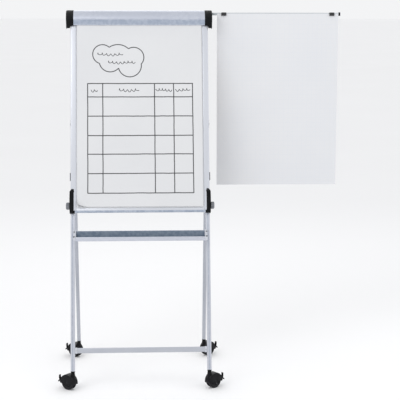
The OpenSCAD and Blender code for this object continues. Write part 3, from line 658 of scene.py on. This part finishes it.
# pad clamp: one long extrusion with a bulged face, a crease and a lower lip
clampShape = {
    "halfLength": 344.0, "roofBack": -2.0, "top": 1882.0, "low": 1798.0, "crease": 1826.56,
    "front": -63.5, "centre": -14.0, "wall": 2.6, "lipFront": -42.3, "lipBack": -39.3,
    "lipHeight": 12.0, "creaseDepth": 1.1,
}


def bulgeFace(inset, steps=36):
    # (y, z) points from the top of the clamp down to its crease
    c = clampShape
    across = c["centre"] - c["front"] - inset
    up = c["top"] - c["crease"] - inset
    return [(c["centre"] - across * math.sin(a), c["crease"] + up * math.cos(a))
            for a in (math.pi / 2 * k / steps for k in range(steps + 1))]


def lowerBand(steps=10):
    # from the crease down and in to the lip, very slightly hollow
    c = clampShape
    points = []
    for k in range(steps + 1):
        t = k / steps
        y = c["front"] + 0.9 + (c["lipFront"] - c["front"] - 0.9) * t
        z = c["crease"] - 2.6 + (c["low"] - c["crease"] + 2.6) * t
        points.append((y + 0.9 * math.sin(math.pi * t), z))
    return points


def clampOutline():
    c = clampShape
    groove = [(c["front"] + 0.25, c["crease"] - 0.9), (c["front"] + c["creaseDepth"] + 0.5,
              c["crease"] - 1.3), (c["front"] + c["creaseDepth"] + 0.5, c["crease"] - 2.1)]
    lip = [(c["lipBack"], c["low"]), (c["lipBack"], c["low"] + c["lipHeight"]),
           (c["lipFront"], c["low"] + c["lipHeight"])]
    inner = list(reversed(bulgeFace(c["wall"])))
    return ([(c["roofBack"], c["top"])] + bulgeFace(0) + groove + lowerBand() + lip + inner
            + [(c["roofBack"], c["top"] - c["wall"])])


def shadeBandSection():
    # a darker strip laid on the band under the crease: painted shade where the band faces down
    band = lowerBand(14)[1:-1]
    proud = [(y - 0.35, z - 0.15) for y, z in band]
    return [band[0]] + proud + [band[-1]] + [(y + 0.5, z) for y, z in reversed(band[1:-1])]


clampEnd = clampShape["halfLength"]
longStrip("clampBar", clampOutline(), (-clampEnd, 0, clampEnd), "clampAluminium", "clamp",
          frontPlane(), ["clamp_profile"])
# painted shade: a darker strip over the lower band, for the shade under the crease
longStrip("clampShadeBand", shadeBandSection(), (0.2 - clampEnd, clampEnd - 0.2), "paintedShadeAluminium", "clamp",
          frontPlane())

# a darker strip along the lower half of the board's bottom rail: painted shade where the rail turns
# under
railFace = -33.5
longStrip("railShadeBand", [(railFace + 0.4, 823.5), (railFace - 0.5, 823.0), (railFace - 0.7, 818.0),
                       (railFace - 0.3, 814.2), (railFace + 1.2, 812.2), (railFace + 3.0, 811.6),
                       (railFace + 3.0, 812.4), (railFace + 1.6, 813.4), (railFace + 0.5, 815.5)],
          (-343.5, 343.5), "paintedShadeAluminium", "board", frontPlane())

# a dark ribbed sheet in the pen tray, painted shade inside the tray, and dark strips in the legs'
# grooves, painted shade in the recess
trayAt = 680.0  # along the leg
trayFloor = legFoot + trayAt * math.cos(leanAngle)
trayLegFace = -halfBase + trayAt * math.sin(leanAngle) - 12 / math.cos(leanAngle) - 0.4
trayShadeShape = {"front": trayLegFace - 48.5, "back": trayLegFace - 3.0, "top": trayFloor + 42.5,
               "thick": 0.5, "ribs": 9, "ribHeight": 0.7}


def trayShadeSection():
    c = trayShadeShape
    base, skin = trayFloor + 0.05, trayFloor + c["thick"]
    upper = []
    for k in range(c["ribs"]):
        y = c["front"] + 2 + (c["back"] - 8 - c["front"]) * k / (c["ribs"] - 1)
        upper += [(y, skin), (y + 0.8, skin + c["ribHeight"]), (y + 1.8, skin + c["ribHeight"]),
                  (y + 2.6, skin)]
    face = c["back"] - c["thick"]
    wall = [(face - 2, trayFloor + 1), (face - 0.4, trayFloor + 2.6), (face, trayFloor + 5)]
    return ([(c["front"], base), (c["front"], skin)] + upper + wall
            + [(face, c["top"]), (c["back"] - 0.05, c["top"]), (c["back"] - 0.05, base)])


longStrip("trayPaintedShade", trayShadeSection(), (-331.5, 331.5), "trayPaintedShade", "stand", None)
# painted shade: a dark strip at the bottom of each leg's groove
grooveShadeSection = [(-1.35, -11.15), (-1.35, -11.4), (-0.9, -11.6), (0.9, -11.6), (1.35, -11.4),
                 (1.35, -11.15)]
for side, word in sides:
    bm = bmesh.new()
    bridgeRings(bm, [[Vector((side * legX + x, y, z)) * mm for x, y in grooveShadeSection]
                     for z in (1.5, 1308.0)])
    finishMesh("groove" + word, bm, "paintedShadeAluminium", "stand", (), frontPlane(), 50)
print("bands, tray lining and groove strips ready")


# clamp end caps: rounded black shells whose outer part hangs lower
capShape = {"inner": 344.1, "step": 361.5, "outer": 383.0, "proud": 1.6, "drop": 16.0,
            "skin": 2.4, "edge": 5.0, "bossFrom": 332.5, "bossTo": 381.0, "bossRadius": 6.3,
            "bossPlace": (-6.0, 1872.0)}


def capOutline(inset, low):
    c = clampShape
    grow = inset - capShape["proud"]
    back, down = c["lipFront"] + 1.6 - c["front"], c["low"] - c["crease"]
    band = [(c["front"] + back * t + grow, c["crease"] + down * t)
            for t in (0.15, 0.35, 0.55, 0.75, 1.0)]
    foot = band[-1]
    side = [(foot[0] - 0.3 * t * t, foot[1] + (low - foot[1]) * t) for t in (0.35, 0.7, 1.0)]
    return [(c["roofBack"], c["top"] - grow)] + bulgeFace(grow, 30) + band + side


def makeCap(side, name, node):
    c = capShape
    upper, lower = clampShape["low"] - c["proud"], clampShape["low"] - c["drop"]
    sections = [(c["inner"], 1.3, upper), (c["inner"] + 0.5, 0.35, upper),
                (c["inner"] + 1.4, 0, upper), (c["step"] - 3.5, 0, upper)]
    for k in range(1, 9):
        t = k / 8
        ease = t * t * (3 - 2 * t)
        sections.append((c["step"] - 3.5 + 6 * t, 0, upper + (lower - upper) * ease))
    sections.append((c["outer"] - 7, 0, lower))
    for k in range(1, 9):
        a = math.pi / 2 * k / 8
        rise = c["edge"] * (1 - math.cos(a))
        sections.append((c["outer"] - 6 + 6 * math.sin(a), rise, lower + rise))
    bm = bmesh.new()
    rings = [[Vector((side * x, y, z)) * mm for y, z in capOutline(inset, low)]
             for x, inset, low in sections]
    last = bridgeRings(bm, rings, False, False, False)[-1]
    backCorner = bm.verts.new((side * c["outer"] * mm, clampShape["roofBack"] * mm, last[-1].co.z))
    bm.faces.new(last + [backCorner])
    bmesh.ops.recalc_face_normals(bm, faces=bm.faces)
    sample = max(bm.faces, key=lambda f: abs(f.calc_center_median().x))
    if sample.normal.x * side < 0:
        bmesh.ops.reverse_faces(bm, faces=bm.faces)
    helper = helperObject(bm)
    modify(helper, "SOLIDIFY", thickness=c["skin"] * mm, offset=-1)
    cap = bmesh.new()
    addShape(cap, bakedMesh(helper), Matrix.Identity(4))
    middle = Vector((side * (c["bossFrom"] + c["bossTo"]) / 2, *c["bossPlace"])) * mm
    addRod(cap, c["bossRadius"], c["bossTo"] - c["bossFrom"],
           Matrix.Translation(middle) @ quarterTurn("Y"))
    finishMesh(name, cap, "blackPlastic", "clamp", [node], frontPlane(), 30, False)


for side, word in sides:
    makeCap(side, "cap" + word, "clamp_cap_" + word.lower())
print("clamp and caps ready")

# side brackets: bulged black hooks round the board's lower corners and the legs
bracketShape = {"outer": 366.0, "low": 809.5, "high": 935.5, "bulge": 1.44, "round": 2.2,
                "slopeIn": 354.0, "slopeFrom": 905.0, "slopeDrop": 9.0}


def makeBracket(side, name, node):
    # the CAD hook, cut finer along its height, rounded and gently bulged
    b = bracketShape
    bm = cleanCopy(node)
    bm.transform(frontPlane().inverted())
    middle, reach = (b["low"] + b["high"]) / 2, (b["high"] - b["low"]) / 2
    for k in range(1, 16):
        height = b["low"] + (b["high"] - b["low"]) * k / 16
        bmesh.ops.bisect_plane(bm, geom=bm.verts[:] + bm.edges[:] + bm.faces[:],
                               plane_co=(0, 0, height * mm), plane_no=(0, 0, 1))
    for v in bm.verts:
        x, y, z = side * v.co.x / mm, v.co.y / mm, v.co.z / mm
        belly = 1 - ((z - middle) / reach) ** 2
        if x > b["outer"] - 0.01:
            x -= b["bulge"] * (1 - belly)
        slope = max(0.0, (x - b["slopeIn"]) / 12) * max(0.0, (z - b["slopeFrom"]) / 30)
        v.co = Vector((side * x, y, z - b["slopeDrop"] * slope)) * mm
    helper = helperObject(bm)
    modify(helper, "BEVEL", width=b["round"] * mm, segments=4, limit_method="ANGLE",
           angle_limit=math.radians(40))
    mesh = bakedMesh(helper)
    mesh.transform(frontPlane())
    finishObject(name, mesh, "blackPlastic", "board", [node], 34)


for side, word in sides:
    makeBracket(side, "bracket" + word, "board_bracket_" + word.lower())

# clamping knobs: a turned core with half-round grip ribs
knobShape = {"height": 850.0, "x0": 366.4, "length": 19.0, "radius": 19.0, "ribs": 14,
             "ribRadius": 2.6, "studStart": 361.2, "studRadius": 4.0}


def makeKnob(side, name, node):
    k = knobShape
    r, x0, x1 = k["radius"] - 2.2, k["x0"], k["x0"] + k["length"]
    profile = [(x0, 0.0), (x0, r - 1.5), (x0 + 0.5, r - 0.4), (x0 + 1.5, r), (x1 - 3, r),
               (x1 - 1.3, r - 0.7), (x1 - 0.3, r - 2.2), (x1, r - 3.6), (x1 - 0.4, r - 4.8),
               (x1 - 1.8, r - 6), (x1 - 2.2, r - 8), (x1 - 1.6, 4.2), (x1 - 1.2, 0.0)]
    bm = bmesh.new()
    latheRing(bm, [(side * t, radius) for t, radius in profile], (0, 0), 56, closed=False)
    bm.transform(Matrix.Rotation(-math.pi / 2, 4, "Z"))
    ribs = nodeShape(ribTree, {
        "Count": k["ribs"], "Ring Radius": (r - 0.4) * mm, "Rib Radius": k["ribRadius"] * mm,
        "Rib Height": (k["length"] - 5) * mm, "Finish": finishes["knobPlastic"]})
    addShape(bm, ribs, Matrix.Translation((side * (x0 + k["length"] / 2 - 0.6) * mm, 0, 0))
             @ quarterTurn("Y"))
    studEnd = x0 + 3
    addRod(bm, k["studRadius"], studEnd - k["studStart"], Matrix.Translation(
        (side * (studEnd + k["studStart"]) / 2 * mm, 0, 0)) @ quarterTurn("Y"), 24)
    place = frontPlane() @ Matrix.Translation((0, 0, k["height"] * mm))
    finishMesh(name, bm, "knobPlastic", node, [node], place, smooth=42)


for side, word in sides:
    makeKnob(side, "knob" + word, "knob_" + word.lower())
print("brackets and knobs ready")


def screwTurn(x, y, z, facing):
    # the head's axis looks out of the leaning plane: facing is 1 to the front, -1 to the back
    return (frontPlane() @ Matrix.Translation(Vector((x, y, z)) * mm)
            @ Matrix.Rotation(facing * math.pi / 2, 4, "X"))


def makeScrews(name, body, rows, replaces=()):
    # a row holds its head radius and height, its place, and a count and step if not single
    bm = bmesh.new()
    for seed, (radius, height, place, *run) in enumerate(rows):
        count, step = run or (1, (0.0, 0.0, 0.0))
        mesh = nodeShape(screwTree, {
            "Count": count, "Step": step, "Head Radius": radius * mm, "Head Height": height * mm,
            "Seed": seed + 3, "Finish": finishes["zincSteel"]})
        addShape(bm, mesh, place)
    finishMesh(name, bm, "zincSteel", body, replaces, smooth=30, flip=False)


trayRows = []
for side in (-1, 1):
    for height in (8, 34):
        face = trayLegFace + height * math.tan(leanAngle)
        turn = (Matrix.Translation(Vector((side * 341, face, trayFloor + height)) * mm)
                @ Matrix.Rotation(math.pi / 2 - leanAngle, 4, "X"))
        for radius, length, out in ((4.0, 1.6, 3.2), (2.0, 3.6, 0.2)):  # head, then shank
            trayRows.append((radius, length, turn @ Matrix.Translation((0, 0, out * mm))))
makeScrews("trayScrews", "stand", trayRows, ["tray_screws"])
makeScrews("crossbarScrews", "stand", [
    (3.4, 1.3, screwTurn(side * 333, -10.9, 105, 1)) for side in (-1, 1)])
makeScrews("boardScrews", "board", [
    (3.6, 1.4, screwTurn(-300, -9.6, 1848, -1), 7, (100 * mm, 0.0, 0.0)),
    (3.0, 1.2, screwTurn(350.5, -9.6, 1852, -1), 2, (0.0, 16 * mm, 0.0)),
    (3.0, 1.2, screwTurn(-350.5, 15.4, 1002, -1)), (3.0, 1.2, screwTurn(350.5, 15.4, 1002, -1))])
print("screws ready")

# paper pad: a stack of pages, a top page with a curled corner, and its drawing
padShape = {"left": -325.0, "right": 325.0, "low": 842.0, "high": 1842.0, "front": -38.3,
            "pages": 14, "pitch": 0.5, "slip": 0.45, "curlPages": 3, "curlPitch": 0.32,
            "curlSlant": 52.0, "curlRadius": 34.0, "curlDepth": 46.0, "curlStep": 9.0}
inkShape = {
    "columns": [-270.8, -192.2, 77.0, 177.2, 276.0],
    "rows": [1488.0, 1417.0, 1315.7, 1213.5, 1116.0, 1015.0, 912.4],
    "lineWidth": 5.0, "scrawlWidth": 3.4, "loop": 3.2, "thickness": 0.12,
    "cloud": [(-158.1, 1680.5), (-57.8, 1672.9), (9.1, 1591.2), (-109.6, 1569.7),
              (-209.1, 1594.9)],
    "cloudBulge": [0.36, 0.86, 0.95, 0.62, 1.25],
    "scrawls": [(-219, 1643, 133, 13, 6), (-163, 1600, 142, 13, 7), (-254, 1452, 34, 14, 2),
                (-107, 1453, 104, 14, 5), (84, 1454, 84, 13, 5), (186, 1454, 78, 13, 4)],
}


def curlPoint(x, z, y, depth):
    # lower left corner rolled forward about a slanting line
    slant, radius = math.radians(padShape["curlSlant"]), padShape["curlRadius"]
    ux, uz = -math.cos(slant), -math.sin(slant)
    past = (x - padShape["left"]) * ux + (z - padShape["low"]) * uz + depth
    if past <= 0:
        return Vector((x, y, z))
    turn = past / radius
    shift = radius * math.sin(turn) - past
    return Vector((x + ux * shift, y - radius * (1 - math.cos(turn)), z + uz * shift))


def pageLines(low, high, coarse):
    # close together near the curled corner, further apart beyond it
    near = [low + 2.6 * k for k in range(40)]
    far = [low + 104 + coarse * k for k in range(int((high - low) / coarse))]
    return [place for place in near + far if place < high - 5] + [high]


def makeTopPage(index):
    p = padShape
    y = p["front"] + p["curlPitch"] * index + 0.15
    depth = p["curlDepth"] - p["curlStep"] * index
    rng = random.Random(20 + index)
    slipX, slipZ = rng.uniform(-0.3, 0.3), rng.uniform(-0.3, 0.3)
    xs, zs = pageLines(p["left"], p["right"], 42.0), pageLines(p["low"], p["high"], 64.0)
    bm = bmesh.new()
    grid = [[bm.verts.new(curlPoint(x, z, y, depth) * mm) for x in xs] for z in zs]
    for low, high in zip(grid, grid[1:]):
        for i in range(len(xs) - 1):
            bm.faces.new((low[i], low[i + 1], high[i + 1], high[i]))
    bm.transform(Matrix.Translation((slipX * mm, 0, slipZ * mm)))
    helper = helperObject(bm)
    modify(helper, "SOLIDIFY", thickness=0.22 * mm, offset=0)
    return bakedMesh(helper)


p = padShape
stack = bmesh.new()
pages = nodeShape(pageTree, {
    "Count": p["pages"], "Page Size": (0.65, (p["pitch"] - 0.08) * mm, 1.0),
    "Pitch": (0.0, p["pitch"] * mm, 0.0), "Slip": p["slip"] * mm, "Seed": 11,
    "Finish": finishes["pagePaper"]})
firstPage = p["front"] + p["curlPitch"] * p["curlPages"] + p["pitch"] / 2
addShape(stack, pages, Matrix.Translation((0, firstPage * mm, (p["low"] + p["high"]) / 2 * mm)))
finishMesh("padPages", stack, "pagePaper", "board", ["paper_pad"], frontPlane(), flip=False)
top = bmesh.new()
for index in range(p["curlPages"]):
    addShape(top, makeTopPage(index), Matrix.Identity(4))
finishMesh("padTopPages", top, "pagePaper", "board", (), frontPlane(), flip=False)


def sideways(points, index):
    # the unit normal of a line of (x, z) points, at one of them
    ax, az = points[max(index - 1, 0)]
    bx, bz = points[min(index + 1, len(points) - 1)]
    length = math.hypot(bx - ax, bz - az) or 1.0
    return -(bz - az) / length, (bx - ax) / length


def inkRibbon(bm, points, width, y, thick):
    # a flat line of ink along (x, z) points
    rings = []
    for index, (x, z) in enumerate(points):
        nx, nz = (part * width / 2 for part in sideways(points, index))
        rings.append([Vector((x + way * nx, y - rise, z + way * nz)) * mm
                      for way, rise in ((1, 0), (1, thick), (-1, thick), (-1, 0))])
    bridgeRings(bm, rings)


def bowedArc(start, end, bulge, steps=22):
    # an arc from start to end; bulge 1 is a half circle, to the left of the way
    (sx, sz), (ex, ez) = start, end
    half = math.hypot(ex - sx, ez - sz) / 2
    height = bulge * half
    radius = (half * half + height * height) / (2 * height)
    nx, nz = sideways([start, end], 0)
    cx, cz = (sx + ex) / 2 - nx * (radius - height), (sz + ez) / 2 - nz * (radius - height)
    first = math.atan2(sz - cz, sx - cx)
    last = math.atan2(ez - cz, ex - cx)
    if last > first:
        last -= 2 * math.pi
    return [(cx + radius * math.cos(first + (last - first) * k / steps),
             cz + radius * math.sin(first + (last - first) * k / steps)) for k in range(steps + 1)]


def makeInk():
    s = inkShape
    rng = random.Random(7)
    y = padShape["front"] + 0.04
    bm = bmesh.new()

    def handLine(start, end):
        count = max(6, int(math.hypot(end[0] - start[0], end[1] - start[1]) / 25))
        wobble = [rng.uniform(-0.9, 0.9) for _ in range(count + 1)]
        points = []
        for k in range(count + 1):
            t = k / count
            points.append((start[0] + (end[0] - start[0]) * t + wobble[k] * 0.6,
                           start[1] + (end[1] - start[1]) * t + wobble[count - k] * 0.6))
        inkRibbon(bm, points, s["lineWidth"], y, s["thickness"])

    for z in s["rows"]:
        handLine((s["columns"][0] - 1, z), (s["columns"][-1] + 1, z))
    for x in s["columns"]:
        handLine((x, s["rows"][0] + 2), (x + (1.5 if x > 0 else 0), s["rows"][-1] - 1))
    corners = s["cloud"]
    for index, start in enumerate(corners):
        inkRibbon(bm, bowedArc(start, corners[(index + 1) % len(corners)], s["cloudBulge"][index]),
                  s["lineWidth"], y, s["thickness"])
    for left, height, width, tall, humps in s["scrawls"]:
        steps = humps * 14
        points = []
        for k in range(steps + 1):
            t = k / steps
            swing = math.sin(2 * math.pi * humps * t)
            rise = tall * (0.44 + 0.28 * math.sin(5.1 * t * humps + left))
            back = s["loop"] * (1 - math.cos(2 * math.pi * humps * t))
            points.append((left + width * t - back, height + rise * swing))
        inkRibbon(bm, points, s["scrawlWidth"], y, s["thickness"])
    finishMesh("padDrawing", bm, "greyInk", "board", (), frontPlane())


makeInk()
print("pad and drawing ready")

# side arm: magnets and the hung sheet
magnetShape = {"width": 27.0, "height": 18.0, "corner": 3.2}
sheetShape = {"thick": 0.35, "columns": 48, "rows": 68, "gap": 0.4, "belly": 2.6, "cornerLift": 3.0}


def makeMagnets():
    low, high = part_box("arm_magnets")
    bm = bmesh.new()
    width, height, r = (magnetShape[key] * mm for key in ("width", "height", "corner"))
    for x in (low.x + width / 2, high.x - width / 2):
        rings = []
        for y, inset in ((high.y, 0.5), (high.y - 0.5 * mm, 0), (low.y + 2.4 * mm, 0),
                         (low.y + 1.0 * mm, 0.7), (low.y + 0.3 * mm, 1.8), (low.y, 3.2)):
            w, h = width / 2 - inset * mm, height / 2 - inset * mm
            ring = []
            for cx, cz, a0 in ((1, 1, 0), (-1, 1, 90), (-1, -1, 180), (1, -1, 270)):
                for k in range(7):
                    a = math.radians(a0 + 15 * k)
                    ring.append(Vector((x + cx * (w - r) + r * math.cos(a), y,
                                        (low.z + high.z) / 2 + cz * (h - r) + r * math.sin(a))))
            rings.append(ring)
        bridgeRings(bm, rings)
    finishMesh("armMagnets", bm, "magnetPlastic", "arm", ["arm_magnets"])


def makeSheet():
    low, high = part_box("hung_sheet")
    c = sheetShape
    columns, rows = c["columns"], c["rows"]
    bm = bmesh.new()
    grid = []
    for j in range(rows + 1):
        line = []
        for i in range(columns + 1):
            u, v = i / columns, j / rows
            fall = max(0.0, v - 0.05) ** 1.3
            wave = 2.2 * math.sin(2 * math.pi * (1.5 * u + 0.15)) + 1.1 * math.sin(7.3 * u + 1.0)
            corner = max(0.0, v - 0.9) * 10
            lift = (c["gap"] + fall * (c["belly"] + wave * 0.55)
                    + c["cornerLift"] * corner * corner * (abs(2 * u - 1) ** 3))
            line.append(bm.verts.new((low.x + (high.x - low.x) * u, high.y - lift * mm,
                                      high.z - (high.z - low.z) * v)))
        grid.append(line)
    for first, second in zip(grid, grid[1:]):
        for i in range(columns):
            bm.faces.new((first[i], second[i], second[i + 1], first[i + 1]))
    helper = helperObject(bm)
    modify(helper, "SOLIDIFY", thickness=c["thick"] * mm, offset=0)
    sheet = finishObject("hungSheet", bakedMesh(helper), "sheetPaper", "arm", ["hung_sheet"])


makeMagnets()
makeSheet()
print("side arm ready")

# castors: tyres, rims and brake pedals, drawn once and placed four times
castorShape = {"wheelRadius": 38.0, "trail": 28.0, "inner": 6.5, "outer": 16.5, "turn": 38.0,
               "ribs": 6, "pivot": (74.0, 35.0), "fork": (86.0, 41.0), "release": (89.0, 67.0),
               "press": (97.0, 30.0), "pedalWidth": 20.0, "hubRadius": 5.0}


def castorPlace(name):
    side = 1 if name.endswith("right") else -1
    y = (-halfBase if name.startswith("front") else halfBase) * mm
    turn = castorShape["turn"] if side > 0 else 180 - castorShape["turn"]
    return Matrix.Translation((side * legX * mm, y, 0)) @ Matrix.Rotation(math.radians(turn), 4, "Z")


def tyreMesh():
    c = castorShape
    t0, t1, r = c["inner"], c["outer"], c["wheelRadius"]
    profile = [(t0, 28.6), (t0, r - 1.6), (t0 + 0.4, r - 0.6), (t0 + 1.3, r), (t0 + 3.6, r),
               (t0 + 3.9, r - 0.6), (t0 + 4.7, r - 0.6), (t0 + 5, r), (t1 - 4, r)]
    profile += [(t1 - 3.2 + 3.2 * math.sin(a), r - 3.2 + 3.2 * math.cos(a))
                for a in (math.radians(15 * k) for k in range(1, 7))]
    profile += [(t1, 30.2), (t1 - 0.6, 29.2), (t1 - 1.2, 28.6)]
    bm = bmesh.new()
    for side in (-1, 1):
        latheRing(bm, [(side * t, radius) for t, radius in profile], (c["trail"], r), 72)
    return bm


def rimMesh():
    c = castorShape
    t1 = c["outer"]
    profile = [(c["inner"], 4.1), (c["inner"], 28.5), (t1 - 1.0, 28.5), (t1 - 0.3, 27.6),
               (t1 - 0.5, 26.4), (t1 - 2.6, 25.2), (t1 - 4.6, 16.5), (t1 - 4.2, 14.6),
               (t1 - 0.9, 13.7), (t1 - 0.2, 12.8), (t1 - 0.1, 9.0), (t1 - 0.6, 8.2),
               (t1 - 1.2, 7.6), (t1 - 1.2, 4.1)]
    bm = bmesh.new()
    for side in (-1, 1):
        latheRing(bm, [(side * t, radius) for t, radius in profile],
                  (c["trail"], c["wheelRadius"]), 60)
        ribs = nodeShape(ribTree, {
            "Count": c["ribs"], "Ring Radius": 20.0 * mm, "Rib Radius": 3.4 * mm,
            "Rib Height": 3.6 * mm, "Finish": finishes["castorPlastic"]})
        addShape(bm, ribs, Matrix.Translation((c["trail"] * mm, side * (t1 - 3.4) * mm,
                                               c["wheelRadius"] * mm)) @ quarterTurn("X"))
    return bm


def pedalMesh():
    # three curved limbs melted into one Y
    c = castorShape
    half = c["pedalWidth"] / 2

    def limb(bm, points, thick, narrow):
        rings = []
        for index, (x, z) in enumerate(points):
            nx, nz = sideways(points, index)
            t = index / (len(points) - 1)
            h = thick / 2 * (0.92 if index in (0, len(points) - 1) else 1)
            w = (half - 1) * (1 - narrow * t)
            ring = []
            for k in range(20):
                a = 2 * math.pi * k / 20
                cosine, sine = math.cos(a), math.sin(a)
                across = w * math.copysign(abs(cosine) ** 0.5, cosine)
                out = h * math.copysign(abs(sine) ** 0.7, sine)
                ring.append(Vector((x + nx * out, across, z + nz * out)) * mm)
            rings.append(ring)
        bridgeRings(bm, rings)

    def curve(a, b, control, steps=10):
        return [((1 - t) ** 2 * a[0] + 2 * t * (1 - t) * control[0] + t * t * b[0],
                 (1 - t) ** 2 * a[1] + 2 * t * (1 - t) * control[1] + t * t * b[1])
                for t in (k / steps for k in range(steps + 1))]

    bm = bmesh.new()
    addRod(bm, c["hubRadius"], c["pedalWidth"], Matrix.Translation(
        (c["pivot"][0] * mm, 0, c["pivot"][1] * mm)) @ quarterTurn("X"))
    limb(bm, curve(c["pivot"], c["fork"], (81, 36)), 4.6, 0.0)
    limb(bm, curve((84.5, 40), c["release"], (91, 50)), 4.4, 0.25)
    limb(bm, curve((84.5, 41), c["press"], (93, 40)), 4.4, 0.1)
    bmesh.ops.recalc_face_normals(bm, faces=bm.faces)
    helper = helperObject(bm)
    modify(helper, "REMESH", mode="VOXEL", voxel_size=0.9 * mm)
    modify(helper, "SMOOTH", iterations=4)
    return bakedMesh(helper)


tyres, rims, pedal = tyreMesh(), rimMesh(), pedalMesh()
for name in castorNames:
    place = castorPlace(name)
    finishMesh("tyres_" + name, tyres.copy(), "tyrePlastic", "wheels_" + name,
               ["castor_wheels_" + name], place)
    finishMesh("rims_" + name, rims.copy(), "castorPlastic", "wheels_" + name,
               (), place)
    mesh = pedal.copy()
    mesh.transform(place)
    finishObject("pedal_" + name, mesh, "castorPlastic", "brake_" + name,
                 ["castor_brake_" + name], 60)
tyres.free()
rims.free()
bpy.data.meshes.remove(pedal)
print("castors ready")

floorBm = bmesh.new()
bmesh.ops.create_circle(floorBm, cap_ends=True, segments=96, radius=viewSettings["floorSize"] / 2)
floorMesh = bpy.data.meshes.new("paleFloor")
floorBm.to_mesh(floorMesh)
floorBm.free()
floorMesh.materials.append(finishes["floorPaint"])
paleFloor = bpy.data.objects.new("paleFloor", floorMesh)
scene.collection.objects.link(paleFloor)
